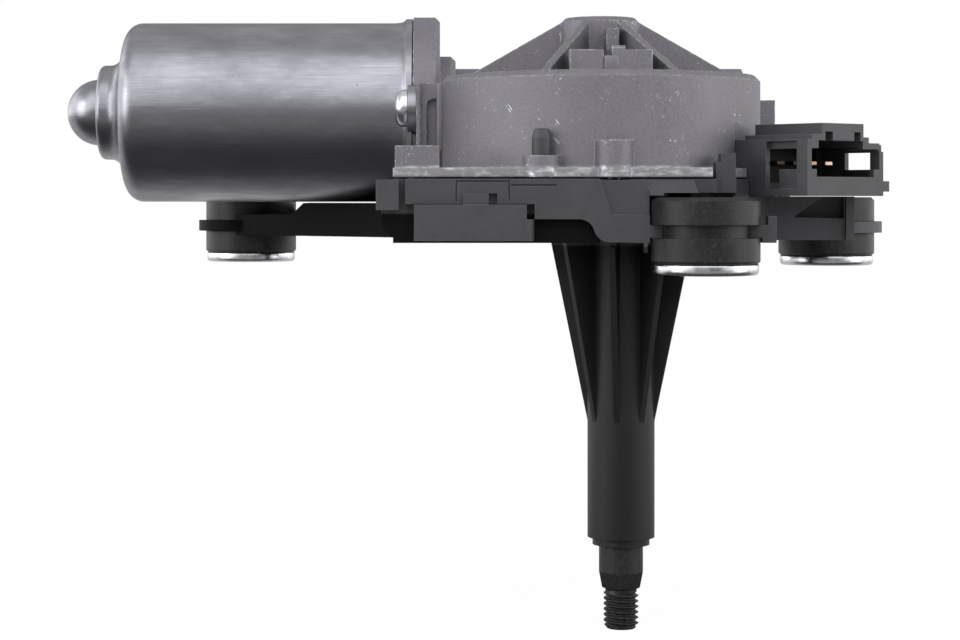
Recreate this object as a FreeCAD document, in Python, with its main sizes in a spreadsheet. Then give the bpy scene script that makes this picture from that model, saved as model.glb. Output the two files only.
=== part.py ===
import FreeCAD, Part
import math
import os
import re
import Sketcher

# A rear wiper motor: a steel motor can, a die-cast gear housing with a worm drive and a
# toothed swing linkage, and a black moulded carrier with three rubber mounts and the tower
# of the output spindle. Millimetres. The spindle axis is the Z axis and points down, and
# Z = 0 is the plane of the three steel sleeves that the vehicle's panel bears on.

doc = FreeCAD.newDocument("rear_wiper_motor")
sheet = doc.addObject("Spreadsheet::Sheet", "sizes")

# Driving dimensions. Depths below the mounting plane are positive numbers.
SIZES = {
    # clearances
    "press_gap": 0.02, "running_gap": 0.05, "free_gap": 0.3,
    # output spindle and its tower
    "journal_radius": 5.05, "pinion_seat_radius": 4.4, "knurl_radius": 4.35, "neck_radius": 3.6,
    "thread_radius": 4.0, "thread_chamfer": 0.8, "journal_end": 68.8, "knurl_end": 72.5,
    "neck_end": 73.4, "spindle_end": 81.8,
    "tower_radius": 7.7, "tower_end": 60.8, "bush_wall": 1.3, "bush_length": 18.0,
    "seal_radius": 6.55, "seal_length": 1.7,
    "web_count": 8, "web_thickness": 1.4, "web_reach": 16.2, "web_end": 35.0, "web_turn": 11.7,
    # carrier
    "carrier_low": 7.0, "carrier_high": 21.2, "carrier_floor": 3.0, "carrier_wall": 2.4,
    "carrier_left": 52.0, "carrier_front": 19.6, "carrier_back": 62.0, "carrier_margin": 4.1,
    "skirt_front": 23.0, "skirt_left": 49.2, "skirt_edge": 12.3, "sweep_left": 11.0,
    "sweep_right": 4.3, "sweep_radius": 3.475, "panel_low": 13.3, "seam_width": 0.4,
    "cover_left": 47.3, "cover_right": 20.9, "cover_low": 7.5, "cover_high": 15.5,
    "cover_front": 24.6, "cover_wall": 1.4, "rib_wall": 1.4,
    # rubber mounts
    "mount_front_x": 16.9, "mount_front_y": -21.8, "mount_right_x": 56.4, "mount_right_y": 54.1,
    "mount_left_x": -92.2, "mount_left_y": 86.4,
    "rubber_radius": 12.0, "rubber_neck": 9.6, "rubber_low": 2.45, "rubber_high": 17.1,
    "groove_low": 8.15, "groove_high": 11.06, "sleeve_bore": 3.3, "sleeve_radius": 4.5,
    "sleeve_flange_radius": 11.65, "sleeve_flange": 2.4, "sleeve_high": 17.6, "sleeve_edge": 0.7,
    "fork_radius": 15.5, "fork_radius_back": 13.9, "fork_low": 7.1, "fork_wrap": 1.2,
    # die-cast gear housing
    "wheel_x": -3.4, "wheel_y": 20.0, "motor_z": 38.4, "gasket_thickness": 0.4,
    "flange_thickness": 2.1, "drum_radius": 37.9, "drum_wall": 2.5, "drum_high": 45.7,
    "drum_edge": 1.3, "hub_radius": 9.3, "hub_high": 59.7, "rib_high": 58.9, "rib_thickness": 1.9,
    "flange_front": 20.0, "casting_edge": 1.2, "pin_radius": 2.2,
    "tunnel_radius": 11.0, "tunnel_bore": 6.6, "tunnel_end": 34.0, "lug_end": 42.0,
    "adapter_margin": 1.45, "adapter_face": 48.2, "adapter_back": 41.6, "ear_recess": 1.0,
    "ear_margin": 5.75, "ear_radius": 5.6, "collar_radius": 14.1, "collar_end": 37.7,
    "brush_recess": 4.0, "brush_recess_margin": 2.45,
    # motor can
    "can_radius": 22.45, "can_wall": 1.6, "can_flange": 2.0, "can_flange_margin": 1.05,
    "can_flare": 52.2, "can_shoulder": 117.2, "can_face_rise": 4.4, "can_step_rise": 2.4,
    "can_boss_rise": 5.4, "can_dome_rise": 5.95, "can_boss_radius": 11.85, "can_dome_radius": 8.3,
    "can_face_margin": 4.05, "screw_head_radius": 4.5, "screw_head": 3.1, "screw_radius": 2.5,
    # armature
    "shaft_radius": 3.0, "worm_pitch_radius": 4.5, "worm_turns": 7, "gear_module": 1.0,
    "gear_addendum": 1.0, "gear_dedendum": 1.2, "backlash": 0.3, "shaft_right": 31.2,
    "shaft_overhang": 2.2, "air_gap": 0.8, "stack_left": 106.0, "stack_right": 66.0,
    "slot_count": 10, "commutator_radius": 8.0, "commutator_left": 58.5, "commutator_right": 49.8,
    "bearing_left": 44.0, "bearing_right": 37.0, "front_bearing_radius": 7.0,
    "end_bearing_radius": 5.0, "end_bearing_left": 24.0, "end_bearing_right": 30.5,
    "rear_bearing_radius": 6.0, "rear_bearing_inset": 3.6, "rear_bearing_length": 7.0,
    "magnet_gap": 0.25, "magnet_thickness": 4.8, "magnet_left": 108.0, "magnet_right": 64.0,
    "magnet_angle": 128.0, "brush_place": 54.2,
    # worm wheel and swing linkage
    "wheel_teeth": 51, "wheel_width": 8.0, "axle_radius": 2.6, "axle_groove": 0.6,
    "axle_low": 32.4, "axle_high": 57.0,
    "crank_radius": 7.2, "crank_pin_radius": 2.8, "crank_pin_low": 31.0,
    "link_length": 21.0, "pinion_teeth": 14, "sector_teeth": 16, "pinion_low": 24.8,
    "pinion_high": 30.0, "rocker_low": 23.0, "rocker_thickness": 1.5, "pivot_radius": 2.5,
    # connector
    "plug_x": 49.71, "plug_y": -11.42, "plug_turn": 49.0, "plug_width": 26.7, "plug_length": 21.3,
    "plug_low": 17.4, "plug_shoulder": 27.5, "plug_high": 30.1, "plug_rail_high": 33.7,
    "plug_wall": 1.4, "plug_depth": 17.0, "plug_back_step": 1.7, "plug_lip": 1.8,
    "plug_lip_high": 21.7, "plug_guide_high": 23.4, "plug_roof": 29.8,
    "blade_count": 4, "blade_pitch": 5.6, "blade_shift": -1.6, "blade_z": 24.9, "blade_end": 10.5,
    "blade_width": 2.5, "blade_thickness": 0.8,
}

for row, (name, number) in enumerate(SIZES.items(), start=1):
    cell = "A%d" % row
    sheet.set(cell, str(number))
    sheet.setAlias(cell, name)
doc.recompute()

# Places and levels that follow from the driving dimensions
MOTOR_Y = "(wheel_y + worm_pitch_radius + wheel_teeth * gear_module / 2)"
FLANGE_LOW = "(carrier_high + gasket_thickness)"
CEILING = "(drum_high - drum_wall)"
WHEEL_LOW = "(motor_z - wheel_width / 2)"
WHEEL_HIGH = "(motor_z + wheel_width / 2)"
PIVOT_REACH = "((pinion_teeth + sector_teeth) * gear_module / 2)"
FLOOR_LOW = "(carrier_high - carrier_floor)"
BUSH_RADIUS = "(journal_radius + bush_wall)"
CARRIER_ROUND = "(drum_radius + carrier_margin)"
ADAPTER_RADIUS = "(can_radius + adapter_margin)"
EAR_REACH = "(can_radius + ear_margin)"
BRUSH_RECESS_RADIUS = "(can_radius - brush_recess_margin)"
CAN_FACE = "(can_shoulder + can_face_rise)"
CAN_STEP = "(can_shoulder + can_face_rise + can_step_rise)"
CAN_BOSS_END = "(can_shoulder + can_face_rise + can_step_rise + can_boss_rise)"
CAN_TIP = "(can_shoulder + can_face_rise + can_step_rise + can_boss_rise + can_dome_rise)"
CAN_FACE_RADIUS = "(can_radius - can_face_margin)"
CAN_FLANGE_RADIUS = "(can_radius + can_flange_margin)"
REAR_BEARING = "(can_shoulder + can_face_rise + can_step_rise + can_boss_rise - rear_bearing_inset)"
SHAFT_LEFT = "(can_shoulder + can_face_rise + can_step_rise + can_boss_rise + shaft_overhang)"
MAGNET_RADIUS = "(can_radius - can_wall - magnet_gap)"
MAGNET_INNER = "(can_radius - can_wall - magnet_gap - magnet_thickness)"
STACK_RADIUS = "(can_radius - can_wall - magnet_gap - magnet_thickness - air_gap)"

parts = []


def bound(text):
    """An expression with each size name pointing at its cell of the sheet."""
    def point(match):
        word = match.group(0)
        return "sizes." + word if word in SIZES else word
    return re.sub(r"[a-z][a-z_0-9]*", point, str(text))


def value(text):
    """The number that an expression gives now."""
    number = sheet.evalExpression(bound(text))
    return float(getattr(number, "Value", number))


def bind(item, setting, text):
    item.setExpression(setting, bound(text))


def place(item, x="0", y="0", z="0", axis=None, angle="0"):
    """Puts an item at x, y, z, turned by an angle about an axis of the frame."""
    if axis is not None:
        rotation = FreeCAD.Rotation(FreeCAD.Vector(axis), value(angle) or 1.0)
        item.Placement = FreeCAD.Placement(FreeCAD.Vector(), rotation)
        bind(item, "Placement.Rotation.Angle", angle)
    for letter, text in (("x", x), ("y", y), ("z", z)):
        bind(item, "Placement.Base." + letter, text)
    return item


def along_motor(item, turn=None):
    """Lays an item that was made along Z on the motor's axis, so that its Z becomes X."""
    rotation = FreeCAD.Rotation(FreeCAD.Vector(0, 1, 0), 90)
    if turn is not None:
        rotation = FreeCAD.Rotation(FreeCAD.Vector(1, 0, 0), turn).multiply(rotation)
    item.Placement = FreeCAD.Placement(FreeCAD.Vector(), rotation)
    bind(item, "Placement.Base.y", MOTOR_Y)
    bind(item, "Placement.Base.z", "motor_z")
    return item


def keep(item, label):
    """Registers a finished sub-part under the name of its file."""
    item.Label = label
    parts.append(item)
    return item


def arc_between(here, there, radius):
    """The short arc from here to there, counterclockwise for a positive radius."""
    chord = there.sub(here)
    half = chord.Length / 2
    rise = math.sqrt(max(radius * radius - half * half, 0.0))
    left = FreeCAD.Vector(-chord.y, chord.x, 0).normalize()
    side = 1 if radius > 0 else -1
    centre = here.add(there).multiply(0.5).add(left.multiply(rise * side))
    circle = Part.Circle(centre, FreeCAD.Vector(0, 0, 1), abs(radius))
    first, last = (here, there) if radius > 0 else (there, here)
    start = math.atan2(first.y - centre.y, first.x - centre.x)
    stop = math.atan2(last.y - centre.y, last.x - centre.x)
    if stop < start:
        stop += 2 * math.pi
    return Part.ArcOfCircle(circle, start, stop)


def draw(body, plane, corners, circles=(), level="0"):
    """A closed outline on one of the body's own planes, held by the sheet's values.

    A corner is (across, up), or (across, up, radius) where the edge that leaves it is an arc,
    counterclockwise for a positive radius. A circle is (across, up, radius).
    """
    sketch = body.newObject("Sketcher::SketchObject", body.Name + "_outline")
    ground = [item for item in body.Origin.OriginFeatures if item.Role == plane][0]
    sketch.AttachmentSupport = [(ground, "")]
    sketch.MapMode = "FlatFace"
    bind(sketch, "AttachmentOffset.Base.z", level)
    spots = [FreeCAD.Vector(value(corner[0]), value(corner[1]), 0) for corner in corners]
    rules = []
    texts = []
    ends = []
    for number, corner in enumerate(corners):
        here = spots[number]
        there = spots[(number + 1) % len(spots)]
        if len(corner) == 2:
            sketch.addGeometry(Part.LineSegment(here, there))
            ends.append((1, 2))
        else:
            radius = value(corner[2])
            sketch.addGeometry(arc_between(here, there, radius))
            ends.append((1, 2) if radius > 0 else (2, 1))
    for number, corner in enumerate(corners):
        following = (number + 1) % len(corners)
        rules.append(Sketcher.Constraint("Coincident", number, ends[number][1],
                                         following, ends[following][0]))
        texts.append(None)
        rules.append(Sketcher.Constraint("DistanceX", -1, 1, number, ends[number][0], spots[number].x))
        texts.append(corner[0])
        rules.append(Sketcher.Constraint("DistanceY", -1, 1, number, ends[number][0], spots[number].y))
        texts.append(corner[1])
        if len(corner) > 2:
            rules.append(Sketcher.Constraint("Radius", number, abs(value(corner[2]))))
            texts.append("abs(%s)" % corner[2])
    for across, up, radius in circles:
        number = sketch.addGeometry(Part.Circle(FreeCAD.Vector(value(across), value(up), 0),
                                                FreeCAD.Vector(0, 0, 1), value(radius)))
        rules.append(Sketcher.Constraint("DistanceX", -1, 1, number, 3, value(across)))
        texts.append(across)
        rules.append(Sketcher.Constraint("DistanceY", -1, 1, number, 3, value(up)))
        texts.append(up)
        rules.append(Sketcher.Constraint("Radius", number, value(radius)))
        texts.append(radius)
    first = sketch.addConstraint(rules)[0]
    for number, text in enumerate(texts):
        if text is not None:
            bind(sketch, "Constraints[%d]" % (first + number), text)
    return sketch


def turned(name, corners):
    """A body turned about Z: each corner is (radius, height)."""
    body = doc.addObject("PartDesign::Body", name)
    sketch = draw(body, "XZ_Plane", corners)
    feature = body.newObject("PartDesign::Revolution", name + "_turned")
    feature.Profile = sketch
    feature.ReferenceAxis = (sketch, ["V_Axis"])
    feature.Angle = 360
    body.Tip = feature
    return body


def ring(name, inner, outer, low, high):
    """A plain ring or bush about Z."""
    return turned(name, [(inner, low), (outer, low), (outer, high), (inner, high)])


def plate(name, corners, low, high, plane="XY_Plane", circles=()):
    """A body padded from low to high, up from XY, along X from YZ, or along Y from XZ."""
    body = doc.addObject("PartDesign::Body", name)
    level = "-(%s)" % high if plane == "XZ_Plane" else low
    sketch = draw(body, plane, corners, circles, level)
    feature = body.newObject("PartDesign::Pad", name + "_pad")
    feature.Profile = sketch
    bind(feature, "Length", "(%s) - (%s)" % (high, low))
    body.Tip = feature
    return body


def box(name, x_low, x_high, y_low, y_high, z_low, z_high):
    item = doc.addObject("Part::Box", name)
    for setting, low, high in (("Length", x_low, x_high), ("Width", y_low, y_high),
                               ("Height", z_low, z_high)):
        bind(item, setting, "(%s) - (%s)" % (high, low))
    return place(item, x_low, y_low, z_low)


def rod(name, radius, low, high, x="0", y="0"):
    """An upright cylinder."""
    item = doc.addObject("Part::Cylinder", name)
    bind(item, "Radius", radius)
    bind(item, "Height", "(%s) - (%s)" % (high, low))
    return place(item, x, y, low)


def rod_along_x(name, radius, left, right, y=MOTOR_Y, z="motor_z"):
    """A cylinder along X."""
    item = doc.addObject("Part::Cylinder", name)
    bind(item, "Radius", radius)
    bind(item, "Height", "(%s) - (%s)" % (right, left))
    item.Placement = FreeCAD.Placement(FreeCAD.Vector(), FreeCAD.Rotation(FreeCAD.Vector(0, 1, 0), 90))
    bind(item, "Placement.Base.x", left)
    bind(item, "Placement.Base.y", y)
    bind(item, "Placement.Base.z", z)
    return item


def fused(name, pieces):
    item = doc.addObject("Part::MultiFuse", name)
    item.Shapes = pieces
    item.Refine = True
    return item


def group(name, pieces):
    item = doc.addObject("Part::Compound", name)
    item.Links = pieces
    return item


def cut(name, base, tools):
    item = doc.addObject("Part::Cut", name)
    item.Base = base
    item.Tool = tools[0] if len(tools) == 1 else fused(name + "_tools", tools)
    item.Refine = True
    return item


# Output spindle: blackened steel, with a seat for the pinion, the journal, a serrated taper
# and a threaded end for the arm's nut
keep(turned("spindle", [
    ("0", "-spindle_end"), ("thread_radius - thread_chamfer", "-spindle_end"),
    ("thread_radius", "-(spindle_end - thread_chamfer)"), ("thread_radius", "-neck_end"),
    ("neck_radius", "-neck_end"), ("neck_radius", "-knurl_end"),
    ("knurl_radius", "-knurl_end"), ("journal_radius", "-journal_end"),
    ("journal_radius", "rocker_low + rocker_thickness + 0.1"),
    ("pinion_seat_radius", "rocker_low + rocker_thickness + 0.1"),
    ("pinion_seat_radius", "pinion_high + 1.6"), ("0", "pinion_high + 1.6")]), "spindle")

# Two sintered bushes in the tower and a lip seal at its mouth
keep(ring("upper_bush", "journal_radius + running_gap", BUSH_RADIUS,
          "carrier_high - bush_length", "carrier_high"), "upper_bush")
keep(ring("lower_bush", "journal_radius + running_gap", BUSH_RADIUS,
          "-tower_end", "bush_length - tower_end"), "lower_bush")
keep(ring("shaft_seal", "journal_radius + running_gap", "seal_radius",
          "-(tower_end + seal_length)", "-tower_end"), "shaft_seal")
keep(ring("thrust_washer", "journal_radius + running_gap", "journal_radius + 3",
          "carrier_high + 0.1", "rocker_low - 0.3"), "thrust_washer")
keep(ring("spindle_clip", "pinion_seat_radius + press_gap", "pinion_seat_radius + 2.2",
          "pinion_high + 0.1", "pinion_high + 0.9"), "spindle_clip")


def mesh_half_angle(teeth, radius):
    """Half the angle that an involute tooth takes at a radius, less its share of the backlash."""
    module = value("gear_module")
    pressure = math.radians(20)
    pitch = teeth * module / 2
    base = pitch * math.cos(pressure)
    slope = math.acos(base / radius) if radius > base else 0.0
    rise = (math.tan(pressure) - pressure) - (math.tan(slope) - slope)
    return math.pi / (2 * teeth) - value("backlash") / (4 * pitch) + rise


def gear_wire(teeth, turn, height):
    """The outline of a gear with a tooth centred on the angle turn, at a height."""
    pitch = teeth * value("gear_module") / 2
    radii = (pitch - value("gear_dedendum"), pitch - value("gear_dedendum") / 2, pitch,
             pitch + value("gear_addendum"))
    spots = []
    for tooth in range(int(teeth)):
        middle = turn + 2 * math.pi * tooth / teeth
        flank = [(radius, mesh_half_angle(teeth, radius)) for radius in radii]
        corners = [(radius, middle - half) for radius, half in flank]
        corners += [(radius, middle + half) for radius, half in reversed(flank)]
        for radius, angle in corners:
            spots.append(FreeCAD.Vector(radius * math.cos(angle), radius * math.sin(angle), height))
    return Part.makePolygon(spots + spots[:1])


def formed(name, shape):
    """A sub-part whose teeth or thread are worked out by formula from the sheet."""
    item = doc.addObject("Part::Feature", name)
    item.Shape = shape
    return item


# Where the linkage stands at rest: the crank and the link are in line, wiper parked
wheel_angle = math.atan2(value("wheel_y"), value("wheel_x"))
wheel_reach = math.hypot(value("wheel_x"), value("wheel_y"))
pivot_reach = value(PIVOT_REACH)
stretched = value("link_length + crank_radius")
corner = (wheel_reach ** 2 + pivot_reach ** 2 - stretched ** 2) / (2 * wheel_reach * pivot_reach)
rocker_angle = wheel_angle - math.acos(corner)
pivot_x = pivot_reach * math.cos(rocker_angle)
pivot_y = pivot_reach * math.sin(rocker_angle)
link_angle = math.atan2(value("wheel_y") - pivot_y, value("wheel_x") - pivot_x)
crank_x = pivot_x + value("link_length") * math.cos(link_angle)
crank_y = pivot_y + value("link_length") * math.sin(link_angle)
PIVOT_X = "%.6f" % pivot_x
PIVOT_Y = "%.6f" % pivot_y

# Pinion pressed on the spindle, with a gap between two teeth turned to the sector
half_pitch = math.pi / value("pinion_teeth")
pinion_wire = gear_wire(value("pinion_teeth"), rocker_angle + half_pitch, value("pinion_low"))
pinion_bore = Part.makeCylinder(value("pinion_seat_radius + press_gap"), 40)
pinion_blank = Part.Face(pinion_wire).extrude(FreeCAD.Vector(0, 0, value("pinion_high - pinion_low")))
keep(formed("pinion", pinion_blank.cut(pinion_bore)), "pinion")

# Toothed sector: the link from the crank pin carries teeth round its pivot. One tooth is
# turned to the pinion at rest, and the teeth reach as far as the swing uses them.
sector_low = value("pinion_low + 0.2")
sector_high = value("pinion_high - 0.2")
sector_thick = FreeCAD.Vector(0, 0, sector_high - sector_low)
toward_pinion = rocker_angle + math.pi - link_angle
sector_gear = Part.Face(gear_wire(value("sector_teeth"), toward_pinion, sector_low)).extrude(sector_thick)
wedge_reach = value("sector_teeth * gear_module")
wedge_angles = [math.radians(angle) for angle in (15, 50, 85, 122)]
wedge_spots = [FreeCAD.Vector(0, 0, sector_low)]
for angle in wedge_angles:
    wedge_spots.append(FreeCAD.Vector(wedge_reach * math.cos(angle), wedge_reach * math.sin(angle), sector_low))
wedge = Part.Face(Part.makePolygon(wedge_spots + wedge_spots[:1])).extrude(sector_thick)
sector_teeth = sector_gear.common(wedge)
link_hub = Part.makeCylinder(5.0, sector_thick.z, FreeCAD.Vector(0, 0, sector_low))
link_eye_radius = value("crank_pin_radius + 2.6")
link_far = FreeCAD.Vector(value("link_length"), 0, sector_low)
link_eye = Part.makeCylinder(link_eye_radius, value("crank_pin_low") - 0.3 - sector_low, link_far)
link_bar = Part.makeBox(link_far.x, 8.4, sector_thick.z, FreeCAD.Vector(0, -5.0, sector_low))
pinion_tip = value("pinion_teeth * gear_module / 2 + gear_addendum + free_gap")
pinion_spot = FreeCAD.Vector(pivot_reach * math.cos(toward_pinion), pivot_reach * math.sin(toward_pinion), 0)
link_bar = link_bar.cut(Part.makeCylinder(pinion_tip, 60, pinion_spot))
sector_shape = sector_teeth.fuse([link_hub, link_eye, link_bar])
sector_shape = sector_shape.cut(Part.makeCylinder(value("pivot_radius + running_gap"), 40))
sector_shape = sector_shape.cut(Part.makeCylinder(value("crank_pin_radius + running_gap"), 40,
                                                  FreeCAD.Vector(link_far.x, 0, 0)))
sector_shape = sector_shape.removeSplitter()
sector = keep(formed("toothed_sector", sector_shape), "toothed_sector")
sector.Placement = FreeCAD.Placement(FreeCAD.Vector(pivot_x, pivot_y, 0),
                                     FreeCAD.Rotation(FreeCAD.Vector(0, 0, 1), math.degrees(link_angle)))

# Rocker plate that holds the sector in mesh, and the pivot pin riveted in it
rocker = plate("rocker_plate", [
    ("0", "-7.2"), (PIVOT_REACH, "-4.5", "4.5"), (PIVOT_REACH + " + 4.5", "0", "4.5"),
    (PIVOT_REACH, "4.5"), ("0", "7.2", "7.2"), ("-7.2", "0", "7.2")],
    "rocker_low", "rocker_low + rocker_thickness",
    circles=[("0", "0", "journal_radius + running_gap"), (PIVOT_REACH, "0", "pivot_radius + press_gap")])
place(rocker, axis=(0, 0, 1), angle="%.6f" % math.degrees(rocker_angle))
keep(rocker, "rocker_plate")
pivot_pin = turned("pivot_pin", [
    ("0", "rocker_low"), ("pivot_radius", "rocker_low"), ("pivot_radius", "pinion_high + 0.1"),
    ("3.4", "pinion_high + 0.1"), ("3.4", "pinion_high + 0.7"), ("0", "pinion_high + 0.7")])
keep(place(pivot_pin, PIVOT_X, PIVOT_Y), "pivot_pin")

# Worm wheel: moulded, with helical teeth, a web and a hub that turns on the axle
twist = value("wheel_width") / value("worm_pitch_radius") * value("gear_module") / 2
twist = twist / value("wheel_teeth * gear_module / 2")
lower_wire = gear_wire(value("wheel_teeth"), math.pi / 2 - twist / 2, value(WHEEL_LOW))
upper_wire = gear_wire(value("wheel_teeth"), math.pi / 2 + twist / 2, value(WHEEL_HIGH))
lower_points = [vertex.Point for vertex in lower_wire.OrderedVertexes]
upper_points = [vertex.Point for vertex in upper_wire.OrderedVertexes]
wheel_faces = [Part.Face(lower_wire), Part.Face(upper_wire)]
for spot in range(len(lower_points)):
    following = (spot + 1) % len(lower_points)
    for corners in ((lower_points[spot], lower_points[following], upper_points[following]),
                    (lower_points[spot], upper_points[following], upper_points[spot])):
        wheel_faces.append(Part.Face(Part.makePolygon(list(corners) + [corners[0]])))
wheel_shape = Part.makeSolid(Part.Shell(wheel_faces))
rim_inner = value("wheel_teeth * gear_module / 2 - gear_dedendum - 2.6")
hub_outer = value("axle_radius + 3.2")
dish = Part.makeCylinder(rim_inner, 3.0, FreeCAD.Vector(0, 0, value(WHEEL_HIGH) - 3.0))
dish = dish.cut(Part.makeCylinder(hub_outer, 3.0, FreeCAD.Vector(0, 0, value(WHEEL_HIGH) - 3.0)))
wheel_shape = wheel_shape.cut(dish)
for spoke in range(6):
    bar = Part.makeBox(rim_inner - hub_outer + 1, 1.6, 3.0,
                       FreeCAD.Vector(hub_outer - 0.5, -0.8, value(WHEEL_HIGH) - 3.0))
    bar.rotate(FreeCAD.Vector(), FreeCAD.Vector(0, 0, 1), 60 * spoke + 30)
    wheel_shape = wheel_shape.fuse(bar)
wheel_shape = wheel_shape.cut(Part.makeCylinder(value("axle_radius + running_gap"), 80))
crank_local = FreeCAD.Vector(crank_x - value("wheel_x"), crank_y - value("wheel_y"), 0)
pin_hole = Part.makeCylinder(value("crank_pin_radius + press_gap"), value(WHEEL_HIGH) - 3.5, crank_local)
wheel_shape = wheel_shape.cut(pin_hole).removeSplitter()
wheel = keep(formed("worm_wheel", wheel_shape), "worm_wheel")
place(wheel, "wheel_x", "wheel_y")
crank_pin = rod("crank_pin", "crank_pin_radius", "crank_pin_low", WHEEL_HIGH + " - 3.6",
                "%.6f" % crank_x, "%.6f" % crank_y)
keep(crank_pin, "crank_pin")
keep(place(ring("contact_ring", "15.5", "20.5", WHEEL_LOW + " - 0.35", WHEEL_LOW), "wheel_x", "wheel_y"),
     "contact_ring")

# Fixed axle pressed into the hub, with the clip that keeps the wheel up
axle = turned("wheel_axle", [
    ("0", "axle_low"), ("axle_radius - 0.4", "axle_low"), ("axle_radius", "axle_low + 0.4"),
    ("axle_radius", WHEEL_LOW + " - 1.2"), ("axle_radius - axle_groove", WHEEL_LOW + " - 1.2"),
    ("axle_radius - axle_groove", WHEEL_LOW + " - 0.4"), ("axle_radius", WHEEL_LOW + " - 0.4"),
    ("axle_radius", "axle_high"), ("0", "axle_high")])
keep(place(axle, "wheel_x", "wheel_y"), "wheel_axle")
clip = ring("wheel_clip", "axle_radius - axle_groove + press_gap", "axle_radius + 1.5", WHEEL_LOW + " - 1.15",
            WHEEL_LOW + " - 0.45")
keep(place(clip, "wheel_x", "wheel_y"), "wheel_clip")

# Armature shaft with the worm cut on it: a single right-handed thread whose axial pitch
# matches the wheel, drawn as a ruled loft of its section at even steps
STEPS_PER_TURN = 16
worm_pitch = math.pi * value("gear_module")
worm_turns = int(value("worm_turns"))
worm_tip = value("worm_pitch_radius + gear_addendum")
worm_root = value("worm_pitch_radius - gear_dedendum")
flank_slope = math.tan(math.radians(20))


def thread_half(radius):
    """Half the axial thickness of the thread at a radius."""
    whole = worm_pitch / 2 - value("backlash") / 2
    return whole / 2 - (radius - value("worm_pitch_radius")) * flank_slope


sections = []
for step in range(worm_turns * STEPS_PER_TURN + 1):
    turn = 2 * math.pi * step / STEPS_PER_TURN
    advance = (step / STEPS_PER_TURN - worm_turns // 2 - 0.5) * worm_pitch
    spots = []
    for radius, side in ((worm_root - 0.7, -1), (worm_tip, -1), (worm_tip, 1), (worm_root - 0.7, 1)):
        across = advance + side * thread_half(max(radius, worm_root))
        spots.append(FreeCAD.Vector(value("wheel_x") + across, -radius * math.cos(turn),
                                    -radius * math.sin(turn)))
    sections.append(Part.makePolygon(spots + spots[:1]))
thread = formed("worm_thread", Part.makeLoft(sections, True, True))
place(thread, "0", MOTOR_Y, "motor_z")
WORM_LEFT = "(wheel_x - (worm_turns / 2 + 0.6) * 3.14159265 * gear_module)"
WORM_RIGHT = "(wheel_x + (worm_turns / 2 + 0.6) * 3.14159265 * gear_module)"
WORM_ROOT = "(worm_pitch_radius - gear_dedendum)"
shaft = along_motor(turned("shaft_blank", [
    ("0", "-" + SHAFT_LEFT), ("shaft_radius", "-" + SHAFT_LEFT), ("shaft_radius", WORM_LEFT),
    (WORM_ROOT, WORM_LEFT), (WORM_ROOT, WORM_RIGHT), ("shaft_radius", WORM_RIGHT),
    ("shaft_radius", "shaft_right"), ("0", "shaft_right")]))
keep(fused("armature_shaft", [shaft, thread]), "armature_shaft")

# Lamination stack with its slots, the windings in them and the commutator
stack_blank = along_motor(ring("stack_blank", "shaft_radius + press_gap", STACK_RADIUS,
                               "-stack_left", "-stack_right"))
slots = []
bars = []
for number in range(int(value("slot_count"))):
    turn = 360.0 / value("slot_count") * number
    slot = plate("slot_%d" % number, [
        (STACK_RADIUS + " * 0.5", "-1.0"), (STACK_RADIUS + " * 0.85", "-2.7"), (STACK_RADIUS + " * 0.9", "-0.8"),
        (STACK_RADIUS + " + 1", "-0.8"), (STACK_RADIUS + " + 1", "0.8"), (STACK_RADIUS + " * 0.9", "0.8"),
        (STACK_RADIUS + " * 0.85", "2.7"), (STACK_RADIUS + " * 0.5", "1.0")],
        "-stack_left - 1", "-stack_right + 1")
    slots.append(along_motor(slot, turn))
    bar = plate("slot_bar_%d" % number, [
        (STACK_RADIUS + " * 0.5 + 0.3", "-0.7"), (STACK_RADIUS + " * 0.85 - 0.3", "-2.3"),
        (STACK_RADIUS + " * 0.85 - 0.3", "2.3"), (STACK_RADIUS + " * 0.5 + 0.3", "0.7")],
        "-stack_left - 2", "-stack_right + 2")
    bars.append(along_motor(bar, turn))
keep(cut("lamination_stack", stack_blank, slots), "lamination_stack")
END_TURNS = [("-stack_left - 7", "-stack_left - 0.3"), ("-stack_right + 0.3", "-stack_right + 6.5")]
for number, (left, right) in enumerate(END_TURNS):
    bars.append(along_motor(turned("end_turns_%d" % number, [
        ("shaft_radius + 2", left), (STACK_RADIUS + " * 0.86 - 2", left),
        (STACK_RADIUS + " * 0.86", left + " + 2"), (STACK_RADIUS + " * 0.86", right + " - 1"),
        (STACK_RADIUS + " * 0.86 - 1", right), ("shaft_radius + 2", right)])))
keep(fused("windings", bars), "windings")
commutator_blank = along_motor(ring("commutator_blank", "shaft_radius + press_gap", "commutator_radius",
                                    "-commutator_left", "-commutator_right"))
slits = []
for number in range(int(value("slot_count"))):
    slit = box("slit_%d" % number, "0", "1", "0", "1", "0", "1")
    bind(slit, "Length", "3")
    bind(slit, "Width", "0.5")
    bind(slit, "Height", "commutator_left - commutator_right + 2")
    turn = FreeCAD.Rotation(FreeCAD.Vector(1, 0, 0), 360.0 / value("slot_count") * number)
    slit.Placement = FreeCAD.Placement(FreeCAD.Vector(), turn.multiply(
        FreeCAD.Rotation(FreeCAD.Vector(0, 1, 0), 90)))
    slit_reach = turn.multVec(FreeCAD.Vector(0, -0.25, -value("commutator_radius") - 2.2))
    bind(slit, "Placement.Base.x", "-commutator_left - 1")
    bind(slit, "Placement.Base.y", MOTOR_Y + " + %.6f" % slit_reach.y)
    bind(slit, "Placement.Base.z", "motor_z + %.6f" % -slit_reach.z)
    slits.append(slit)
keep(cut("commutator", commutator_blank, slits), "commutator")

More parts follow.
